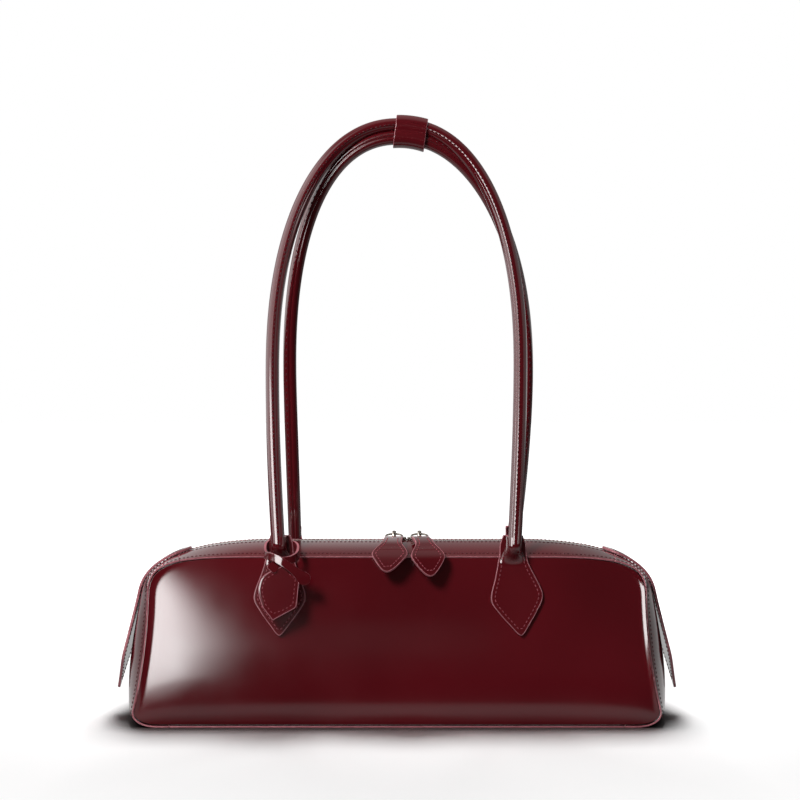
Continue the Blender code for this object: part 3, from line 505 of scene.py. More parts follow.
SEAM = [corner_track(corner, SEAM_HALF_WIDTH, SEAM_HEIGHT) for corner in SEAM_SHARES]
BELLY = [corner_track(corner, SEAM_HALF_WIDTH + SIDE_BULGE, SEAM_HEIGHT + TOP_BULGE)
         for corner in BELLY_SHARES]


def seam_depth(height):
    """Half depth of the body where the band's edge is at this height."""
    return FOOT_DEPTH + (TOP_DEPTH - FOOT_DEPTH) * height / SEAM_HEIGHT


def loop_outlines(station):
    """Seam and belly points at a station of the loop, which starts at the bottom middle."""
    station = station % LOOP
    side = 1.0
    if station > CORNERS:
        station = LOOP - station
        side = -1.0
    corner = min(int(station), CORNERS - 1)
    seam = SEAM[corner].at(station - corner)
    belly = BELLY[corner].at(station - corner)
    seam.x *= side
    belly.x *= side
    return seam, belly


def bare_band(station, share):
    seam, belly = loop_outlines(station)
    point = seam.lerp(belly, 1.0 - share * share)
    point.y = share * seam_depth(seam.z)
    return point


def band_normal(station, share):
    """Outward direction of the band's face."""
    along = bare_band(station + SLOPE_STEP, share) - bare_band(station - SLOPE_STEP, share)
    across = bare_band(station, share + SLOPE_STEP) - bare_band(station, share - SLOPE_STEP)
    return across.cross(along).normalized()


def band_point(station, share, inward=0.0):
    """Point of the band, -1 at the front seam and 1 at the back, moved inward from its face."""
    return bare_band(station, share) - band_normal(station, share) * inward


def band_depth(station):
    return seam_depth(loop_outlines(station)[0].z)


def top_station(distance):
    """Station of the loop at this distance from the top middle, to the right when positive."""
    reach = abs(distance)
    top = BELLY[4].length
    if reach <= top:
        station = CORNERS - reach / top
    else:
        station = CORNERS - 1 - (reach - top) / BELLY[3].length
    return station if distance >= 0 else LOOP - station


def steps_between(start, stop, count):
    return [start + (stop - start) * step / count for step in range(count + 1)]


print("seam loop", round(2 * sum(track.length for track in SEAM), 4), "m long")

# %% [markdown]
# ## Helpers for pieces of leather
#
# A flat grid from bmesh is laid on a surface by moving its corners, and a Solidify modifier
# gives it the thickness of the hide. The rim that Solidify makes takes the second finish,
# which is how the painted edges come out in pink. A fine bevel rounds them, and it's painted
# as well, so the pink line also shows from the front.

# %% Helpers for pieces
EDGE_ROUND = 0.00028


def add_piece(name, shape, looks, body, nodes=()):
    """Turn a bmesh into an object that rides on a body and stands for some nodes."""
    mesh = bpy.data.meshes.new(name)
    shape.to_mesh(mesh)
    shape.free()
    for look in looks:
        mesh.materials.append(finishes[look])
    mesh.shade_smooth()
    piece = bpy.data.objects.new(name, mesh)
    bpy.context.scene.collection.objects.link(piece)
    if body:
        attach(piece, body)
    if nodes:
        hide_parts(*nodes)
    return piece


def laid_grid(columns, rows, place, closed=False, capped=False, turned=False):
    """A bmesh grid whose corners are moved to place(column, row)."""
    grid = bmesh.new()
    bmesh.ops.create_grid(grid, x_segments=columns, y_segments=rows, size=0.5)
    for vert in grid.verts:
        column = round((vert.co.x + 0.5) * columns)
        row = round((vert.co.y + 0.5) * rows)
        vert.co = place(column, row)
    if closed:
        bmesh.ops.remove_doubles(grid, verts=grid.verts[:], dist=GAP / 100)
    if capped:
        bmesh.ops.holes_fill(grid, edges=[edge for edge in grid.edges if edge.is_boundary])
        bmesh.ops.recalc_face_normals(grid, faces=grid.faces[:])
    if turned:
        bmesh.ops.reverse_faces(grid, faces=grid.faces[:])
    return grid


def wall(piece, thickness, offset=-1.0, round_off=EDGE_ROUND, painted=True):
    """Give a sheet the thickness of its leather, painted and rounded at the edges."""
    solid = piece.modifiers.new("wall", "SOLIDIFY")
    solid.thickness = thickness
    solid.offset = offset
    solid.use_even_offset = False
    if painted:
        solid.material_offset_rim = 1
    if round_off:
        soften = piece.modifiers.new("rounded", "BEVEL")
        soften.width = round_off
        soften.segments = 3
        soften.material = 1 if painted else -1
        soften.limit_method = "ANGLE"
        soften.angle_limit = math.radians(50)
    return piece


def add_block(shape, place, round_off, segments, taper=None):
    """A cube set by a matrix, with rounded edges; taper(vert) may move its corners first."""
    made = bmesh.ops.create_cube(shape, size=1.0, matrix=place)
    for vert in made["verts"] if taper else ():
        taper(vert)
    edges = list({edge for vert in made["verts"] for edge in vert.link_edges})
    bmesh.ops.bevel(shape, geom=edges, offset=round_off, segments=segments, affect="EDGES",
                    profile=0.5, material=-1)


def ribbon_grid(rows, columns, place, width_at, **how):
    """A strip: place(across, share) gives a corner, width_at(share) its half width there."""
    def corner(column, row):
        share = row / rows
        return place((2 * column / columns - 1) * width_at(share), share)
    return laid_grid(columns, rows, corner, **how)


# %% [markdown]
# ## Stitches
#
# The seams are sewn with a thick tonal thread. One stitch is a small ball drawn out along
# the seam and half sunk in the leather. A row walks along a line by length, and leaves a
# gap after every stitch, so the spacing stays even round the corners.

# %% Stitches
STITCH_PITCH = 0.0026
STITCH_LENGTH = 0.0019
STITCH_WIDTH = 0.00070
stitch_count = 0


def stitch_row(name, line, body, pitch=STITCH_PITCH, length=STITCH_LENGTH, look="thread"):
    """Sew along a line of (point, outward direction) pairs."""
    global stitch_count
    track = Track([point for point, _ in line])
    seam = bmesh.new()
    count = max(2, int(track.length / pitch))
    for number in range(count):
        share = (number + 0.5) / count
        point = track.at(share)
        along = (track.at(share + 0.2 / count) - track.at(share - 0.2 / count)).normalized()
        out = line[min(int(share * len(line)), len(line) - 1)][1]
        side = along.cross(out).normalized()
        out = side.cross(along)
        turn = Matrix((along, side, out)).transposed().to_4x4()
        size = Matrix.Diagonal((length, STITCH_WIDTH, STITCH_WIDTH, 1.0))
        bmesh.ops.create_uvsphere(seam, u_segments=6, v_segments=4, radius=0.5,
                                  matrix=Matrix.Translation(point) @ turn @ size)
    stitch_count += count
    return add_piece(name, seam, [look], body)


# %% [markdown]
# ## Front and back panel
#
# Each panel is sewn in behind the painted edge of the band, and the board behind it pads its
# face. At the sides the stitching pulls the leather up to the edge, which leaves a shallow
# channel beside the seam: it's the dark line at the left of the photo's highlight and the
# bright one at the right. Rings run from the seam inwards and close on a line along the middle.
# Where they close, the corners above and below the line match, so the face has no cap and
# its gloss runs on without a break.

# %% Panels
PANEL_PROUD = 0.0004
PANEL_ROLL = 0.0060
FACE_PADDING = 0.0016
SIDE_FADE = 0.018
TOP_FADE = 0.012
BOTTOM_FADE = 0.006
CHANNEL_RISE = 0.0010
CHANNEL_WIDTH = 0.0050
CHANNEL_BESIDE = (0.80, 0.93)
CHANNEL_ABOVE = (0.003, 0.020)
MIDDLE_CROWN = 0.0008
SEAM_TURN = 0.0060
SPINE_HALF = FLAT_SHARE * SEAM_HALF_WIDTH
SPINE_HEIGHT = 0.0500
FLAT_STEPS = 16
BOTTOM_REACH = FOOT_SHARE * SEAM_HALF_WIDTH
ROLL_SHARES = (0.0, 0.05, 0.13, 0.25, 0.40, 0.60, 0.80, 1.0)
RING_SHARES = (0.05, 0.11, 0.18, 0.26, 0.34, 0.43, 0.52, 0.61, 0.70, 0.79, 0.88, 0.95, 1.0)


def smooth_step(value, start, stop):
    part = min(max((value - start) / (stop - start), 0.0), 1.0)
    return part * part * (3 - 2 * part)


def panel_face(across, height, inset):
    """Depth of the panel's face, at a distance from its seam."""
    level = min(max(height, 0.0), SEAM_HEIGHT) / SEAM_HEIGHT
    beside = smooth_step(abs(across) / SEAM_HALF_WIDTH, *CHANNEL_BESIDE)
    beside *= smooth_step(height, *CHANNEL_ABOVE)
    channel = CHANNEL_RISE * beside * max(0.0, 1.0 - inset / CHANNEL_WIDTH) ** 2
    padded = FACE_PADDING
    for distance, length in ((half_width_at(height) - abs(across), SIDE_FADE),
                             (SEAM_HEIGHT - height, TOP_FADE), (height, BOTTOM_FADE)):
        padded *= 1.0 - math.exp(-max(distance, 0.0) / length)
    crown = MIDDLE_CROWN * math.sin(math.pi * level)
    return seam_depth(height) + PANEL_PROUD + padded + channel + crown


def half_width_at(height):
    """Half width of the seam outline at this height."""
    widest = 0.0
    for track in SEAM[1:4]:
        for before, after in zip(track.points, track.points[1:]):
            if before.z <= height <= after.z:
                part = (height - before.z) / max(after.z - before.z, GAP * GAP)
                widest = max(widest, before.lerp(after, part).x)
    return widest or SEAM_HALF_WIDTH * FLAT_SHARE


def skin_depth(across, height):
    """Depth of the panel's face where something is sewn onto it."""
    inset = max(0.0, min(half_width_at(height) - abs(across), SEAM_HEIGHT - height, height))
    return panel_face(across, height, inset)


def panel_stations():
    """Stations round the seam whose corners match above and below the middle line."""
    half = [SPINE_HALF / BOTTOM_REACH * step / FLAT_STEPS for step in range(FLAT_STEPS)]
    half += steps_between(SPINE_HALF / BOTTOM_REACH, 1.0, 8)[:-1]
    half += steps_between(1.0, 2.0, 14)[:-1]
    half += steps_between(2.0, 3.0, 14)[:-1]
    half += steps_between(3.0, 4.0, 20)[:-1]
    half += [4.0 + step / FLAT_STEPS for step in range(FLAT_STEPS)]
    return half + [CORNERS] + [LOOP - station for station in reversed(half[1:])]


def make_panel(name, side):
    stations = panel_stations()
    count = len(stations)
    turn = 1.0 - SEAM_TURN / FOOT_DEPTH
    tucked = (turn, (1.0 + turn) / 2, 0.985)
    rows = len(tucked) + len(ROLL_SHARES) + len(RING_SHARES)

    def corner(column, row):
        station = stations[column % count]
        if row < len(tucked):
            return band_point(station, side * tucked[row], LEATHER + GAP)
        edge = band_point(station, side, LEATHER + GAP)
        spine = Vector((min(max(edge.x, -SPINE_HALF), SPINE_HALF), edge.y, SPINE_HEIGHT))
        reach = (spine - edge).length
        row -= len(tucked)
        if row < len(ROLL_SHARES):
            inset = PANEL_ROLL * ROLL_SHARES[row]
        else:
            share = RING_SHARES[row - len(ROLL_SHARES)]
            inset = PANEL_ROLL + (reach - PANEL_ROLL) * share
        point = edge.lerp(spine, inset / reach)
        point.y = side * panel_face(point.x, point.z, inset)
        return point
    grid = laid_grid(count, rows - 1, corner, closed=True, turned=side > 0)
    skin = add_piece(name + "_skin", grid, ["calf"], "body", [name])
    wall(skin, LEATHER * 0.8, round_off=0.0, painted=False)


for name, side in (("front_panel", -1.0), ("back_panel", 1.0)):
    make_panel(name, side)
print("panels have", len(panel_stations()), "columns")

# %% [markdown]
# ## Gussets, base and top strips
#
# The band round the panels is cut in five: the base, two gussets that swell out at the
# sides and curl over onto the top, and two strips beside the zip. Their raw edges at the
# seam are painted, which draws the thin pink line round the front.

# %% Gussets, base and top strips
BASE_HALF_LENGTH = 0.1386
STRIP_HALF_LENGTH = 0.1380
ZIP_SLOT_HALF = 0.0046
BAND_LEATHER = 0.0011
BAND_PROUD = 0.0014


def make_span(name, stations, columns=24):
    """A stretch of band from seam to seam."""
    rows = len(stations) - 1

    def corner(column, row):
        outer = 1.0 + BAND_PROUD / band_depth(stations[row])
        return band_point(stations[row], (2 * column / columns - 1) * outer)
    grid = laid_grid(columns, rows, corner)
    skin = add_piece(name + "_skin", grid, ["calf", "edge_paint"], "body", [name])
    return wall(skin, BAND_LEATHER)


base_end = BASE_HALF_LENGTH / SEAM[0].length
strip_end = top_station(STRIP_HALF_LENGTH + GAP)
rise = steps_between(base_end + GAP / SEAM[0].length, 1.0, 3)[:-1] + steps_between(1.0, 2.0, 14)[:-1]
rise += steps_between(2.0, 3.0, 20)[:-1] + steps_between(3.0, strip_end, 20)
make_span("base_panel", steps_between(-base_end, base_end, 40))
make_span("gusset_right", rise)
make_span("gusset_left", [LOOP - station for station in reversed(rise)])


def make_strip(name, side, columns=10, rows=120):
    def corner(column, row):
        station = top_station(STRIP_HALF_LENGTH * (1 - 2 * row / rows))
        inner = ZIP_SLOT_HALF / band_depth(station)
        outer = 1.0 + BAND_PROUD / band_depth(station)
        return band_point(station, side * (inner + (outer - inner) * column / columns))
    grid = laid_grid(columns, rows, corner, turned=side < 0)
    skin = add_piece(name + "_skin", grid, ["calf", "edge_paint"], "body", [name])
    wall(skin, BAND_LEATHER)


make_strip("top_strip_front", -1.0)
make_strip("top_strip_back", 1.0)

SEAM_STITCH_INSET = 0.0022
SLOT_STITCH_INSET = 0.0046


def band_line(stations, reach_at, side):
    """Points on the band at a distance from its middle, with the way out."""
    line = []
    for station in stations:
        share = side * reach_at(station) / band_depth(station)
        line.append((band_point(station, share), band_normal(station, share)))
    return line


# The band's rows are sewn with the seam thread, which is painted darker as shade.
for name, side in FACES:
    around = steps_between(1.05, LOOP - 1.05, 360)
    stitch_row("seam_stitches_" + name,
               band_line(around, lambda station: band_depth(station) - SEAM_STITCH_INSET, side), "body",
               look="shaded_seam_thread")
    along = [top_station(distance) for distance in steps_between(0.136, -0.136, 120)]
    stitch_row("zip_stitches_" + name,
               band_line(along, lambda station: ZIP_SLOT_HALF + SLOT_STITCH_INSET, side), "body",
               look="shaded_seam_thread")
print("band sewn with", stitch_count, "stitches")

# %% [markdown]
# ## Zip
#
# Two woven tapes lie under the strips and carry the rows of metal teeth. Each tooth is a
# small block that reaches over the middle between two teeth of the other side, so the
# shut zip shows as one bright, even chain.

# %% Zip
STRIP_TUCK = 0.0060
TAPE = 0.0007
TAPE_EDGE = 0.0003
CHAIN_HALF_LENGTH = 0.1350
TOOTH_PITCH = 0.0025
TOOTH_SIZE = (0.0013, 0.0040, 0.0017)
TOOTH_OFFSET = 0.0012


def make_tape(name, side, columns=4, rows=120):
    def corner(column, row):
        station = top_station(CHAIN_HALF_LENGTH * (1 - 2 * row / rows))
        reach = TAPE_EDGE + (ZIP_SLOT_HALF + STRIP_TUCK - TAPE_EDGE) * column / columns
        return band_point(station, side * reach / band_depth(station), LEATHER + GAP)
    grid = laid_grid(columns, rows, corner, turned=side < 0)
    tape = add_piece(name + "_cloth", grid, ["tape_weave"], "body", [name])
    wall(tape, TAPE, painted=False)


def make_teeth(name, side, shift):
    row = bmesh.new()
    count = int(2 * CHAIN_HALF_LENGTH / TOOTH_PITCH)
    for number in range(count):
        distance = -CHAIN_HALF_LENGTH + TOOTH_PITCH * (number + 0.5 + shift)
        station = top_station(distance)
        share = side * TOOTH_OFFSET / band_depth(station)
        out = band_normal(station, share)
        ahead = band_point(station + SLOPE_STEP, share)
        along = (ahead - band_point(station - SLOPE_STEP, share)).normalized()
        turn = Matrix((along, out.cross(along), out)).transposed().to_4x4()
        place = Matrix.Translation(band_point(station, share, LEATHER * 0.6))
        size = Matrix.Diagonal((*TOOTH_SIZE, 1.0))
        add_block(row, place @ turn @ size, TOOTH_SIZE[0] / 4, 1)
    teeth = add_piece(name + "_metal", row, ["nickel"], "body", [name])
    return len(teeth.data.polygons)


for name, side, shift in (("front", -1.0, 0.0), ("back", 1.0, 0.5)):
    make_tape("zip_tape_" + name, side)
    print("teeth", name, make_teeth("zip_teeth_" + name, side, shift - 0.25), "faces")

# %% [markdown]
# ## Sliders and rings
#
# A slider is a top plate narrowed towards the middle, a bottom plate under the chain, and
# a small arch on top that holds the ring. It's bevelled as a casting is. The ring is a
# wire spun round a circle.

# %% Sliders and rings
SLIDER_MEETING_X = 0.0062
SLIDER_LENGTH = 0.0135
SLIDER_HALF_WIDTH = 0.0042
SLIDER_PLATE = 0.0012
LUG_OUTWARD = 0.0010
LUG_RISE = 0.0020
LUG_HALF_SPAN = 0.0021
LUG_HALF_WIDTH = 0.0013
LUG_HALF_WALL = 0.00045
LUG_ARCH = ((-1.0, -1.0), (-0.95, -0.1), (-0.6, 0.65), (0.0, 0.95), (0.6, 0.65), (0.95, -0.1), (1.0, -1.0))
SLIDER_TAPER = 0.72
RING_WIRE = 0.00062
RING_RADIUS = 0.0052
RING_DROOP = 10.0
BELLY_HEIGHT = SEAM_HEIGHT + TOP_BULGE


def slider_centre(side):
    return SLIDER_MEETING_X + side * (SLIDER_LENGTH / 2 + GAP)


def lug_place(side):
    height = BELLY_HEIGHT + GAP + SLIDER_PLATE + LUG_RISE
    return Vector((slider_centre(side) + side * LUG_OUTWARD, 0.0, height))


def bevelled_block(shape, low, high, taper, side, round_off):
    """A block whose inner end is narrower, with rounded edges."""
    low, high = Vector(low), Vector(high)
    middle = (low + high) / 2

    def narrow(vert):
        if (vert.co.x - middle.x) * side > 0:
            vert.co.y *= taper
    place = Matrix.Translation(middle) @ Matrix.Diagonal((*(high - low), 1.0))
    add_block(shape, place, round_off, 3, narrow)


def make_slider(word, side):
    centre = slider_centre(side)
    half = SLIDER_LENGTH / 2
    top = BELLY_HEIGHT + GAP
    shape = bmesh.new()
    bevelled_block(shape, (centre - half, -SLIDER_HALF_WIDTH, top),
                   (centre + half, SLIDER_HALF_WIDTH, top + SLIDER_PLATE), SLIDER_TAPER, side, 0.0004)
    bottom = BELLY_HEIGHT - LEATHER - 2 * GAP - TAPE
    bevelled_block(shape, (centre - half, -SLIDER_HALF_WIDTH, bottom - SLIDER_PLATE),
                   (centre + half, SLIDER_HALF_WIDTH, bottom), SLIDER_TAPER, side, 0.0003)
    eye = lug_place(side)
    arch = smooth_track([(eye.x, along * LUG_HALF_SPAN, eye.z + up * LUG_RISE * 0.92)
                         for along, up in LUG_ARCH])
    across = Vector((1.0, 0.0, 0.0))

    def lug_corner(column, row):
        share = row / 20
        angle = 2 * math.pi * column / 10
        flat = arch.slope(share).cross(across).normalized()
        return (arch.at(share) + across * LUG_HALF_WIDTH * math.cos(angle)
                + flat * LUG_HALF_WALL * math.sin(angle))
    lug = laid_grid(10, 20, lug_corner, closed=True, capped=True)
    mesh = bpy.data.meshes.new("lug")
    lug.to_mesh(mesh)
    lug.free()
    shape.from_mesh(mesh)
    bpy.data.meshes.remove(mesh)
    name = "zip_slider_" + word
    add_piece(name + "_casting", shape, ["nickel"], "slider_" + word, [name])


def make_ring(word, side, around=64, sides=14):
    eye = lug_place(side)
    droop = Matrix.Rotation(math.radians(RING_DROOP), 3, "X")

    def corner(column, row):
        turn = 2 * math.pi * row / around
        angle = 2 * math.pi * column / sides
        reach = RING_RADIUS + RING_WIRE * math.cos(angle)
        point = Vector((reach * math.sin(turn), -RING_RADIUS + reach * math.cos(turn),
                        RING_WIRE * math.sin(angle)))
        return eye + droop @ point
    grid = laid_grid(sides, around, corner, closed=True)
    bmesh.ops.recalc_face_normals(grid, faces=grid.faces[:])
    name = "pull_ring_" + word
    add_piece(name + "_wire", grid, ["nickel"], "ring_" + word, [name])


for word, side in SIDES:
    make_slider(word, side)
    make_ring(word, side)
print("sliders meet at x =", SLIDER_MEETING_X)

# %% [markdown]
# ## Leather pulls
#
# Each pull is two layers of calf glued and sewn round the edge, cut as a soft diamond with
# a short neck that folds over the ring. It lies over the seam and its tip hangs clear of
# the panel. The layers are one thick sheet here, with a bead of edge paint round it. The
# tips hang up to 3.2 mm lower and 1.7 mm further out than the tips of their solids.

# %% Leather pulls
PULL_THICKNESS = 0.0028
PULL_HALF_WIDTH = {"left": 0.0105, "right": 0.0100}
PULL_YAW = {"left": -3.5, "right": 8.5}
PULL_LEAN = {"left": -0.0022, "right": 0.0012}
PULL_TIP = {"left": (-0.0430, 0.0950), "right": (-0.0434, 0.0924)}
PULL_BENDS = ((-0.0200, 0.1121), (-0.0284, 0.1106), (-0.0352, 0.1074), (-0.0400, 0.1022))
PULL_SHARES = ((0.00, 0.50), (0.20, 0.51), (0.40, 0.53), (0.50, 0.62), (0.58, 0.78), (0.66, 0.95),
               (0.70, 1.00), (0.745, 0.975), (0.82, 0.79), (0.90, 0.54), (0.955, 0.34), (0.985, 0.19),
               (0.997, 0.08), (1.00, 0.01))
PULL_ROUND = 0.0008
PULL_SEWN_FROM = 0.20
PULL_STITCH_PITCH = 0.0021
BORDER = 0.0021
RIM_BEAD = 0.00045
RIM_PROUD = 0.00012
RIM_SIDES = 10
RIM_RINGS = 220
RIM_SLOPE_STEP = 0.004


def pull_line(word, side):
    """The bent middle line of a pull, over the seam and down in front of the panel."""
    eye = lug_place(side)
    droop = math.radians(RING_DROOP)
    pivot = eye - Vector((0.0, 2 * RING_RADIUS * math.cos(droop), 2 * RING_RADIUS * math.sin(droop)))
    start = pivot + Vector((0.0, -RING_WIRE - GAP - PULL_THICKNESS / 4, 0.0))
    bends = [(start.x, along, up) for along, up in PULL_BENDS + (PULL_TIP[word],)]
    return smooth_track([start] + bends), pivot


def diamond_outline(place, width_at, start, samples=90):
    """Points round a leather shape, a border's width inside its edge."""
    shares = steps_between(start, 1.0, samples)
    halves = []
    for sign in (-1.0, 1.0):
        edge = [place(sign * width_at(share), share) for share in shares]
        moved = []
        for index, point in enumerate(edge):
            along = (edge[min(index + 1, samples)] - edge[max(index - 1, 0)]).normalized()
            middle = place(0.0, shares[index])
            inwards = middle - point
            inwards -= along * inwards.dot(along)
            if inwards.length < BORDER:
                continue
            shifted = point + inwards.normalized() * BORDER
            if (shifted - middle).dot(place(sign * 0.001, shares[index]) - middle) > 0:
                moved.append(shifted)
        halves.append(moved)
    return halves[0] + halves[1][::-1]


def sewn_border(name, body, place, width_at, thickness, out_at, start=0.0, pitch=STITCH_PITCH):
    """Stitches round a leather shape, on its outward face."""
    line = []
    for point in diamond_outline(place, width_at, start):
        out = out_at(point)
        line.append((point + out * (thickness / 2), out))
    return stitch_row(name, line, body, pitch=pitch)


def painted_rim(name, body, place, width_at, thickness, out_at):
    """A bead of edge paint round a leather shape, whose thickness lies behind the placed face."""
    shares = steps_between(0.0, 1.0, 160)
    outline = [place(-width_at(share), share) for share in shares]
    outline += [place(width_at(share), share) for share in reversed(shares)]
    ring = Track(outline + outline[:1])

    def corner(column, row):
        share = (row % RIM_RINGS) / RIM_RINGS
        point = ring.at(share)
        ahead = ring.at((share + RIM_SLOPE_STEP) % 1.0)
        along = (ahead - ring.at((share - RIM_SLOPE_STEP) % 1.0)).normalized()
        out = out_at(point)
        beside = along.cross(out).normalized()
        angle = math.tau * (column % RIM_SIDES) / RIM_SIDES
        middle = point - out * (thickness / 2)
        raised = (thickness / 2 + RIM_PROUD) * math.sin(angle)
        return middle + beside * (RIM_BEAD * math.cos(angle)) + out * raised
    grid = laid_grid(RIM_SIDES, RIM_RINGS, corner, closed=True)
    bmesh.ops.recalc_face_normals(grid, faces=grid.faces[:])
    return add_piece(name, grid, ["edge_paint"], body)


def make_pull(word, side):
    track, pivot = pull_line(word, side)
    yaw = Matrix.Rotation(math.radians(PULL_YAW[word]), 3, "Z")

    def width_at(share):
        return share_line(PULL_SHARES, share) * PULL_HALF_WIDTH[word]

    def place(across, share):
        point = track.at(share)
        point.x += across + PULL_LEAN[word] * share ** 3
        return yaw @ (point - pivot) + pivot

    def out_at(point):
        back = yaw.inverted() @ (point - pivot) + pivot
        share = min(steps_between(0.0, 1.0, 60), key=lambda share: abs(track.at(share).y - back.y))
        return yaw @ Vector((1.0, 0.0, 0.0)).cross(track.slope(share)) * -1.0
    grid = ribbon_grid(60, 24, place, width_at)
    name = "zip_pull_" + word
    pull = add_piece(name + "_leather", grid, ["handle_calf", "edge_paint"], "pull_" + word, [name])
    wall(pull, PULL_THICKNESS, 0.0, PULL_ROUND)
    sewn_border(name + "_stitches", "pull_" + word, place, width_at, PULL_THICKNESS, out_at,
                PULL_SEWN_FROM, PULL_STITCH_PITCH)

    def face(across, share):
        point = place(across, share)
        return point + out_at(point) * (PULL_THICKNESS / 2)
    painted_rim(name + "_rim", "pull_" + word, face, width_at, PULL_THICKNESS, out_at)


for word, side in SIDES:
    make_pull(word, side)
print("pulls are", PULL_THICKNESS, "m thick")

# %% [markdown]
# ## End tabs
#
# A leather tab covers each end of the zip. It's sewn down on the top and lets its diamond
# end stand off from the gusset. It is one piece with its flap.

# %% End tabs
END_TAB_START = 0.1310
END_TAB_LENGTH = 0.0450
END_TAB_THICKNESS = 0.0016
FLAP_LENGTH = 0.0620
FLAP_HALF_WIDTH = 0.0130
FLAP_LEAN = 13.0
END_TAB_SEWN_FROM = 0.03
END_TAB_SHARES = ((0.00, 0.10), (0.02, 0.42), (0.07, 0.66), (0.16, 0.69), (0.45, 0.69), (0.55, 0.75),
                  (0.70, 0.92), (0.765, 1.00), (0.81, 0.93), (0.90, 0.48), (0.965, 0.17), (0.99, 0.08),
                  (1.00, 0.01))


def make_end_tab(word, side):
    lift = -(GAP + END_TAB_THICKNESS / 2)
    points = []
    for distance in steps_between(END_TAB_START, END_TAB_START + END_TAB_LENGTH, 24):
        points.append(band_point(top_station(side * distance), 0.0, lift))
    fold = points[-1].copy()
    down = Vector((side * math.sin(math.radians(FLAP_LEAN)), 0.0, -math.cos(math.radians(FLAP_LEAN))))
    points += [fold + down * distance for distance in steps_between(0.006, FLAP_LENGTH, 12)]
    track = smooth_track(points)

    def width_at(share):
        return share_line(END_TAB_SHARES, share) * FLAP_HALF_WIDTH

    def place(across, share):
        return track.at(share) + Vector((0.0, across, 0.0))

    def out_at(point):
        nearest = min(steps_between(0.0, 1.0, 60), key=lambda share: (track.at(share).z - point.z) ** 2
                      + (track.at(share).x - point.x) ** 2)
        return track.slope(nearest).cross(Vector((0.0, side, 0.0))).normalized() * -1.0
    grid = ribbon_grid(90, 16, place, width_at, turned=side < 0)
    leather = add_piece("end_tab_%s_leather" % word, grid, ["calf", "edge_paint"], None,
                        ["end_tab_" + word, "end_flap_" + word])
    wall(leather, END_TAB_THICKNESS, 0.0, 0.0004)
    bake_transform(leather)
    sewing = sewn_border("end_tab_%s_stitches" % word, None, place, width_at, END_TAB_THICKNESS, out_at,
                         END_TAB_SEWN_FROM)
    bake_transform(sewing)


for word, side in SIDES:
    make_end_tab(word, side)
print("end tabs made")

# %% [markdown]
# ## Rolled handles
#
# A handle is a strip of calf rolled round a cord and sewn along the side that faces the
# front. Rings of corners follow the middle line of the arch. At its feet the roll
# has no cord: it flattens and spreads until it sinks into the tab's face, as the real
# leather does. The roll and its two necks are one piece.

# %% Rolled handles
HANDLE_RADIUS = 0.0040
HANDLE_SPACING = 0.0715
HANDLE_BELLY = 0.0770
HANDLE_ROOT_HEIGHT = 0.1000
HANDLE_ARCH_HEIGHT = 0.1500
HANDLE_CREST_HEIGHT = 0.3745
HANDLE_STACK = 0.0084
HANDLE_ARCH_POWER = 2.2
HANDLE_LEG_POWER = 1.6
HANDLE_LEAN_POWER = 0.92
HANDLE_ROOT_SHIFT = {"front": -0.0002, "back": 0.0042}
HANDLE_CREST_SHIFT = {"front": 0.0012, "back": 0.0012}
HANDLE_BOW = {"front": -0.0008, "back": 0.0044}
TAB_THICKNESS = 0.0020
FACE_CROWN = 0.0028
FACE_PROUD = 0.0014
ROLL_RADIUS = 0.00425
ROLL_SEAM = {"front": 70.0, "back": -80.0}
ROLL_STITCHES = {"front": (82.0, 0.0028), "back": (-64.0, 0.0040)}


def face_depth(across, height):
    """How far a tab's seat on the panel stands out from the middle of the body."""
    level = min(max(height, 0.0), SEAM_HEIGHT) / SEAM_HEIGHT
    crown = FACE_CROWN * math.cos(math.pi / 2 * across / SEAM_HALF_WIDTH)
    return seam_depth(height) + FACE_PROUD + crown * math.sin(math.pi * level)


def root_depth():
    face = face_depth(HANDLE_SPACING, HANDLE_ROOT_HEIGHT)
    return face + 2 * GAP + TAB_THICKNESS + HANDLE_RADIUS


def crest_height(which):
    return HANDLE_CREST_HEIGHT - (HANDLE_STACK if which == "back" else 0.0)


def handle_place(which, across, height):
    """Set a point of an arch into its leaning plane."""
    crest = crest_height(which)
    share = (height - HANDLE_ROOT_HEIGHT) / (crest - HANDLE_ROOT_HEIGHT)
    shift = HANDLE_ROOT_SHIFT[which] + (HANDLE_CREST_SHIFT[which] - HANDLE_ROOT_SHIFT[which]) * share
    shift += HANDLE_BOW[which] * 4 * share * (1 - share)
    side = -1.0 if which == "front" else 1.0
    lean = max(1 - share, 0.0) ** HANDLE_LEAN_POWER
    return Vector((across + shift, side * root_depth() * lean, height))


def handle_track(which):
    """Middle line of a handle from its left root over the crest to its right root."""
    crest = crest_height(which)
    shoulder = crest - HANDLE_ARCH_HEIGHT
    half = []
    for height in steps_between(HANDLE_ROOT_HEIGHT, shoulder, 12)[:-1]:
        share = (shoulder - height) / (shoulder - HANDLE_ROOT_HEIGHT)
        spread_out = HANDLE_BELLY + (HANDLE_SPACING - HANDLE_BELLY) * share ** HANDLE_LEG_POWER
        half.append((spread_out, height))
    for angle in steps_between(0.0, math.pi / 2, 26)[:-1]:
        across = HANDLE_BELLY * math.cos(angle) ** (2 / HANDLE_ARCH_POWER)
        half.append((across, shoulder + HANDLE_ARCH_HEIGHT * math.sin(angle) ** (2 / HANDLE_ARCH_POWER)))
    left = [(-across, height) for across, height in half]
    line = left + [(0.0, crest)] + half[::-1]
    return smooth_track([handle_place(which, across, height) for across, height in line])


MELT_START = 0.1000
MELT_STOP = 0.1095
HANDLE_SIDES = 48
HANDLE_RINGS = 260
ROLL_RELIEF = {"front": 0.00030, "back": 0.00075}
FLAP_FALLS = (75.0, 5.0)
GROOVE_PLACE = -9.0
GROOVE_WIDTH = 7.0


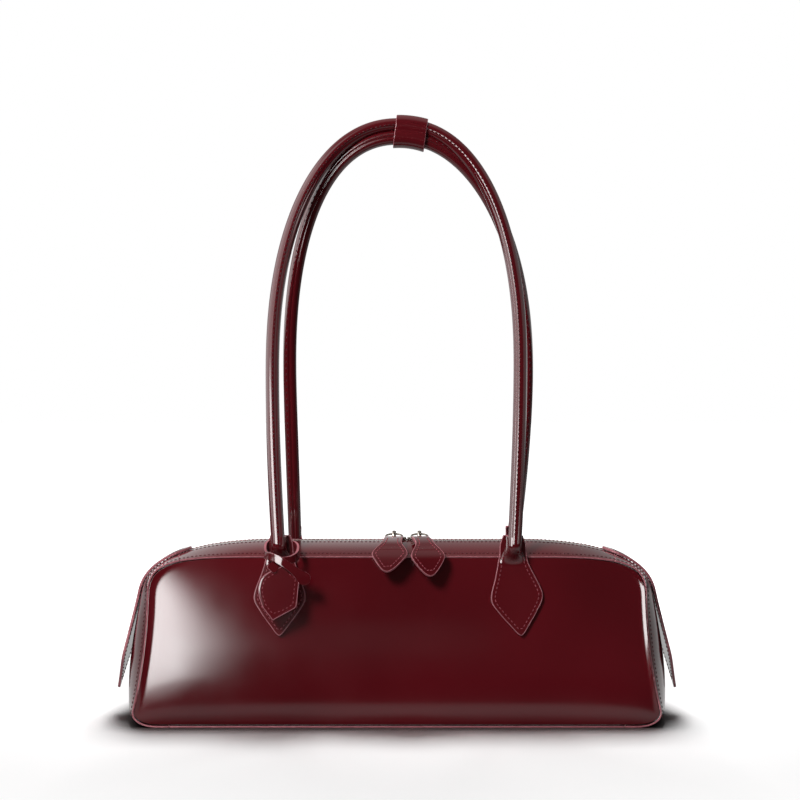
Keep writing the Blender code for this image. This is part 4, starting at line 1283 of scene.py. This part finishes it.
def seam_relief(which, degrees):
    """The sewn edge of the roll: a flap that lies on top, with a groove beside it."""
    beyond = (degrees - ROLL_SEAM[which] + 180.0) % 360.0 - 180.0
    flap = math.exp(-(beyond / FLAP_FALLS[0 if beyond > 0 else 1]) ** 2)
    groove = math.exp(-((beyond - GROOVE_PLACE) / GROOVE_WIDTH) ** 2)
    return ROLL_RELIEF[which] * (0.6 * flap - groove)


def make_handle(which):
    track = handle_track(which)
    outward = Vector((0.0, -1.0 if which == "front" else 1.0, 0.0))

    def ring(share):
        """Centre, the way across and the way out, and how flat the roll is there."""
        along = track.slope(share)
        across = along.cross(outward).normalized()
        out = across.cross(along).normalized()
        centre = track.at(share)
        melt = 1.0 - smooth_step(centre.z, MELT_START, MELT_STOP)
        centre = centre - outward * ((HANDLE_RADIUS + GAP) * melt)
        return centre, across, out, 1.0 - 0.1 * melt, 1.0 - 0.92 * melt

    def corner(column, row):
        centre, across, out, wide, flat = ring(row / HANDLE_RINGS)
        degrees = 360.0 * column / HANDLE_SIDES
        angle = math.radians(degrees)
        radius = ROLL_RADIUS + seam_relief(which, degrees)
        return (centre + across * (radius * wide * math.cos(angle))
                + out * (radius * flat * math.sin(angle)))
    grid = laid_grid(HANDLE_SIDES, HANDLE_RINGS, corner, closed=True, capped=True)
    names = ["handle_" + which, "handle_neck_%s_left" % which, "handle_neck_%s_right" % which]
    roll = add_piece("handle_%s_leather" % which, grid, ["handle_calf"], None, names)
    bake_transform(roll)
    line = []
    degrees, pitch = ROLL_STITCHES[which]
    for share in steps_between(0.025, 0.975, 400):
        centre, across, out, wide, flat = ring(share)
        angle = math.radians(degrees)
        turned = (across * math.cos(angle) + out * math.sin(angle)).normalized()
        line.append((centre + turned * (ROLL_RADIUS + seam_relief(which, degrees)), turned))
    # The handle's row uses the seam thread, which is painted darker as shade.
    sewing = stitch_row("handle_%s_stitches" % which, line, None, pitch, 0.0018, "shaded_seam_thread")
    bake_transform(sewing)
    return track


handle_tracks = {which: make_handle(which) for which in ("front", "back")}
print("handles measure", round(handle_tracks["front"].length, 3), "m along the middle line")

# %% [markdown]
# ## Handle tabs
#
# The roll of each handle opens into a flat diamond that is sewn to the panel. The tab is a
# thick sheet laid on the face. Towards its top the middle rises and narrows until it is as
# round as the roll, which starts inside it, so the two read as one piece of leather. The rim
# is painted, with a row of stitches a little inside it.

# %% Handle tabs
TAB_HALF_WIDTH = 0.0155
TAB_TOP = 0.1160
TAB_TIP = 0.0560
TAB_TILT = {"front_left": 0.0, "front_right": 6.0, "back_left": 2.0, "back_right": 2.0}
TAB_SHARES = ((0.00, 0.38), (0.05, 0.44), (0.09, 0.49), (0.20, 0.52), (0.30, 0.61), (0.41, 0.75),
              (0.53, 0.925), (0.59, 0.99), (0.63, 1.00), (0.68, 0.94), (0.80, 0.64), (0.91, 0.32),
              (0.955, 0.19), (0.985, 0.09), (1.00, 0.01))
BACK_TOP_SHARES = ((0.0, 0.24), (0.12, 0.26), (0.22, 0.50), (0.30, 0.61))
BACK_TOP_END = 0.28
TAB_LIFTS_FROM = 0.090
TAB_ROUND = 0.0006
TAB_SEWN_FROM = 0.20
ROLL_RISE = 0.0083
ROLL_OPENS = (0.0975, 0.1105)
ROLL_WIDENS = 0.0045


def rolled_up(across, height):
    """How far the tab's leather stands up where it rolls together into the handle."""
    rolled = smooth_step(height, *ROLL_OPENS)
    if rolled == 0.0:
        return 0.0
    half = ROLL_RADIUS - GAP / 4 + ROLL_WIDENS * (1.0 - rolled)
    shape = 1.0 - min(abs(across) / half, 1.0) ** 2.2
    return ROLL_RISE * rolled * shape ** (0.29 + 0.9 * (1.0 - rolled))


def make_handle_tab(which, word):
    name = which + "_" + word
    sign = 1.0 if word == "right" else -1.0
    outward = -1.0 if which == "front" else 1.0
    root_x = sign * HANDLE_SPACING + HANDLE_ROOT_SHIFT[which]
    tilt = math.radians(TAB_TILT[name])

    def width_at(share):
        table = BACK_TOP_SHARES if which == "back" and share < BACK_TOP_END else TAB_SHARES
        return share_line(table, share) * TAB_HALF_WIDTH

    def place(across, share):
        """A corner of the tab's outer face."""
        height = TAB_TOP + (TAB_TIP - TAB_TOP) * share
        below = max(HANDLE_ROOT_HEIGHT - height, 0.0)
        x = root_x + across * math.cos(tilt) + sign * below * math.sin(tilt)
        z = height + sign * across * math.sin(tilt) * min(1.0, below / 0.010)
        if height > HANDLE_ROOT_HEIGHT:
            depth = abs(handle_place(which, 0.0, height).y) - HANDLE_RADIUS - GAP
        else:
            lifted = smooth_step(z, TAB_LIFTS_FROM, HANDLE_ROOT_HEIGHT)
            seat = skin_depth(x, z) * (1.0 - lifted) + face_depth(x, z) * lifted
            depth = seat + GAP + TAB_THICKNESS
        return Vector((x, outward * (depth + rolled_up(across, height)), z))

    def out_at(_):
        return Vector((0.0, outward, 0.1)).normalized()
    grid = ribbon_grid(90, 72, place, width_at, turned=outward < 0)
    node = "handle_tab_" + name
    tab = add_piece(node + "_leather", grid, ["handle_calf", "edge_paint"], "body", [node])
    wall(tab, TAB_THICKNESS, -1.0, TAB_ROUND)
    sewn_border(node + "_stitches", "body", place, width_at, 0.0, out_at, TAB_SEWN_FROM)
    painted_rim(node + "_rim", "body", place, width_at, TAB_THICKNESS, out_at)


for which in ("front", "back"):
    for word in ("left", "right"):
        make_handle_tab(which, word)
print("tabs are", 2 * TAB_HALF_WIDTH, "m wide")

# %% [markdown]
# ## Keeper
#
# A short strap is wrapped round both handles at the crest and glued over itself. It is
# pressed in between them, so its faces have a crease along the middle. It's a closed loop
# of corners swept a little way round the same arc that it slides on. It has 0.4 mm more room
# than its solid, for the rolls' sewn edges.

# %% Keeper
KEEPER_X = 0.0086
KEEPER_LENGTH = 0.0200
KEEPER_WALL = 0.0012
KEEPER_ROOM = 0.0011
KEEPER_PIVOT_DROP = 0.0570
KEEPER_CREASE = 0.22


def make_keeper(columns=72, rows=24):
    middle = HANDLE_CREST_HEIGHT - HANDLE_STACK / 2
    pivot = Vector((HANDLE_CREST_SHIFT["front"], 0.0, middle - KEEPER_PIVOT_DROP))
    turn = math.asin((KEEPER_X - pivot.x) / KEEPER_PIVOT_DROP)
    sweep = KEEPER_LENGTH / KEEPER_PIVOT_DROP
    inner = HANDLE_RADIUS + KEEPER_ROOM

    def section(share):
        """Once round the loop: two half circles, pressed in between the handles to a crease."""
        straight = HANDLE_STACK
        arc = math.pi * inner
        reach = share * 2 * (straight + arc)
        flip = 1.0
        if reach >= straight + arc:
            reach -= straight + arc
            flip = -1.0
        if reach < straight:
            up = reach - straight / 2
            away = (straight / 2 - abs(up)) / inner
            across = inner * (1.0 - KEEPER_CREASE * (1.0 - math.sqrt(1.0 - away ** 2)))
            return flip * across, flip * up
        angle = (reach - straight) / inner
        return flip * inner * math.cos(angle), flip * (straight / 2 + inner * math.sin(angle))

    def corner(column, row):
        across, up = section(column / columns % 1.0)
        even = KEEPER_PIVOT_DROP / (KEEPER_PIVOT_DROP + up)
        angle = turn + sweep * (row / rows - 0.5) * even
        return pivot + Matrix.Rotation(angle, 3, "Y") @ Vector((0.0, across, KEEPER_PIVOT_DROP + up))
    grid = laid_grid(columns, rows, corner, closed=True)
    keeper = add_piece("handle_keeper_leather", grid, ["handle_calf", "edge_paint"], "keeper",
                       ["handle_keeper"])
    wall(keeper, KEEPER_WALL, 1.0, 0.00035)


make_keeper()
print("keeper made")

# %% [markdown]
# ## Hang tag
#
# A sewn hexagonal tag hangs on a narrow strap. The strap runs once round the neck of the
# front left handle, crosses over itself in front of the tag and ends in a rounded tip.

# %% Hang tag
TAG_TOP = Vector((-0.0690, -0.0461, 0.0988))
TAG_REACH = Vector((-0.0059, -0.0022, -0.0320))
TAG_THICKNESS = 0.0024
TAG_LEFT_EDGE = ((0.0, -0.0003), (0.095, -0.0061), (0.19, -0.0103), (0.25, -0.0115), (0.32, -0.0119),
                 (0.44, -0.0119), (0.57, -0.0105), (0.68, -0.0087), (0.76, -0.0072), (0.86, -0.0043),
                 (0.93, -0.0020), (1.0, -0.0002))
TAG_RIGHT_EDGE = ((0.0, 0.0003), (0.095, 0.0057), (0.17, 0.0099), (0.20, 0.0108), (0.25, 0.0112),
                  (0.44, 0.0117), (0.57, 0.0121), (0.70, 0.0125), (0.745, 0.0124), (0.78, 0.0115),
                  (0.86, 0.0074), (0.93, 0.0037), (1.0, 0.0002))
TAG_OUT = Vector((0.0, -1.0, 0.07)).normalized()
TAG_SEWN_FROM = 0.05
STRAP_THICKNESS = 0.0014
STRAP_HEIGHT = 0.1060
STRAP_ROUTE = (
    (-0.0764, -0.0484, 0.0964), (-0.0719, -0.0463, 0.1010), (-0.0648, -0.0445, 0.1024),
    (-0.0609, -0.0405, 0.1044), (-0.0605, -0.0365, 0.1080), (-0.0631, -0.0320, 0.1102),
    (-0.0702, -0.0290, 0.1113), (-0.0779, -0.0318, 0.1111), (-0.0802, -0.0360, 0.1085),
    (-0.0798, -0.0415, 0.1053), (-0.0761, -0.0465, 0.1046), (-0.0707, -0.0489, 0.1025),
    (-0.0634, -0.0493, 0.0977), (-0.0580, -0.0492, 0.0931), (-0.0528, -0.0488, 0.0892),
)
STRAP_FREE_SHARE = 0.28
STRAP_WIDTHS = ((0.0, 0.0020), (0.012, 0.0031), (0.05, 0.0027), (0.12, 0.0024), (0.80, 0.0023),
                (0.895, 0.0026), (0.925, 0.0033), (0.95, 0.0039), (0.97, 0.0038), (0.985, 0.0030),
                (0.996, 0.0016), (1.0, 0.0003))


def make_strap():
    centre = handle_place("front", -HANDLE_SPACING, STRAP_HEIGHT)
    track = smooth_track(STRAP_ROUTE)

    def place(across, share):
        point = track.at(share)
        radial = point - centre
        radial.z = 0.0
        freed = max(0.0, 1.0 - min(share, 1.0 - share) / STRAP_FREE_SHARE)
        radial = radial.normalized().lerp(Vector((0.0, -1.0, 0.0)), freed)
        return point + track.slope(share).cross(radial).normalized() * across
    grid = ribbon_grid(160, 8, place, lambda share: share_line(STRAP_WIDTHS, share))
    strap = add_piece("hang_tag_strap_leather", grid, ["handle_calf", "edge_paint"], "body",
                      ["hang_tag_strap"])
    wall(strap, STRAP_THICKNESS, 0.0, 0.00045)
    return track.length


def make_tag():
    """The tag's two edges differ, because its left side curls forward a little."""
    def width_at(share):
        return (share_line(TAG_RIGHT_EDGE, share) - share_line(TAG_LEFT_EDGE, share)) / 2

    def place(across, share):
        middle = (share_line(TAG_RIGHT_EDGE, share) + share_line(TAG_LEFT_EDGE, share)) / 2
        return TAG_TOP + TAG_REACH * share + Vector((middle + across, 0.0, 0.0))
    grid = ribbon_grid(70, 22, place, width_at)
    tag = add_piece("hang_tag_leather", grid, ["calf", "edge_paint"], "tag", ["hang_tag"])
    wall(tag, TAG_THICKNESS, 0.0, 0.0006)
    # The thread is drawn a little into the tag, clear of the strap in front of it.
    sewn_border("hang_tag_stitches", "tag", place, width_at, TAG_THICKNESS - GAP, lambda _: TAG_OUT,
                TAG_SEWN_FROM)

    def face(across, share):
        return place(across, share) + Vector((0.0, -TAG_THICKNESS / 2, 0.0))
    painted_rim("hang_tag_rim", "tag", face, width_at, TAG_THICKNESS, lambda _: TAG_OUT)


make_tag()
print("the tag's strap is", round(make_strap(), 3), "m long")

# %% [markdown]
# ## Inside the bag
#
# The boards, the handles' cores and the lining hardly show, but they're part of the bag.
# The solids of the boards and cores have the right shape, so they only get their finishes.
# The lining and its pocket are soft, so they're made again as smooth cloth.

# %% Inside the bag
HIDDEN = {"fibreboard": ("front_stiffener", "back_stiffener", "base_board"),
          "cotton": ("handle_core_front", "handle_core_back")}
for look, names in HIDDEN.items():
    for name in names:
        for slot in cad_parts[name].material_slots:
            slot.material = finishes[look]

LINING = 0.0006
LINING_LEVELS = 24
LINING_SIDES = 96
LINING_TUCK = (0.55, 0.80, 0.93, 0.985, 1.0)
LINING_SIDE_ROOM = 0.0112
LINING_FACE_ROOM = 0.0034
LINING_FLARE = 0.010


def superellipse(half_width, half_depth, share, power=8.0):
    """A rounded rectangle, read once round."""
    angle = 2 * math.pi * share
    cosine, sine = math.cos(angle), math.sin(angle)
    across = math.copysign(abs(cosine) ** (2 / power), cosine)
    along = math.copysign(abs(sine) ** (2 / power), sine)
    return across * half_width, along * half_depth


def make_lining():
    low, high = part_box("lining")
    flat = len(LINING_TUCK) - 1

    def corner(column, row):
        share = max(row - flat, 0) / (LINING_LEVELS - flat)
        height = low.z + LINING + (high.z - low.z - LINING) * share
        tuck = LINING_TUCK[min(row, flat)]
        half_width = min(half_width_at(height + LINING_FLARE) - LINING_SIDE_ROOM, high.x) * tuck
        half_depth = (seam_depth(height) - LINING_FACE_ROOM) * tuck
        across, along = superellipse(half_width, half_depth, column / LINING_SIDES % 1.0)
        return Vector((across, along, height))
    grid = laid_grid(LINING_SIDES, LINING_LEVELS, corner, closed=True)
    rim = [edge for edge in grid.edges if edge.is_boundary
           and all(vert.co.z < low.z + 2 * LINING for vert in edge.verts)]
    bmesh.ops.holes_fill(grid, edges=rim)
    cloth = add_piece("lining_cloth", grid, ["lining_twill"], "body", ["lining"])
    wall(cloth, LINING, -1.0, 0.0, painted=False)


def make_pocket(columns=30, rows=14):
    low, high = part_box("slip_pocket")

    def corner(column, row):
        height = low.z + (high.z - low.z) * row / rows
        across = low.x + (high.x - low.x) * column / columns
        return Vector((across, seam_depth(height) - LINING_FACE_ROOM - 2.5 * LINING, height))
    grid = laid_grid(columns, rows, corner, turned=True)
    cloth = add_piece("slip_pocket_cloth", grid, ["lining_twill"], "body", ["slip_pocket"])
    wall(cloth, LINING, -1.0, 0.0, painted=False)


make_lining()
make_pocket()
print("inside done;", stitch_count, "stitches in all")
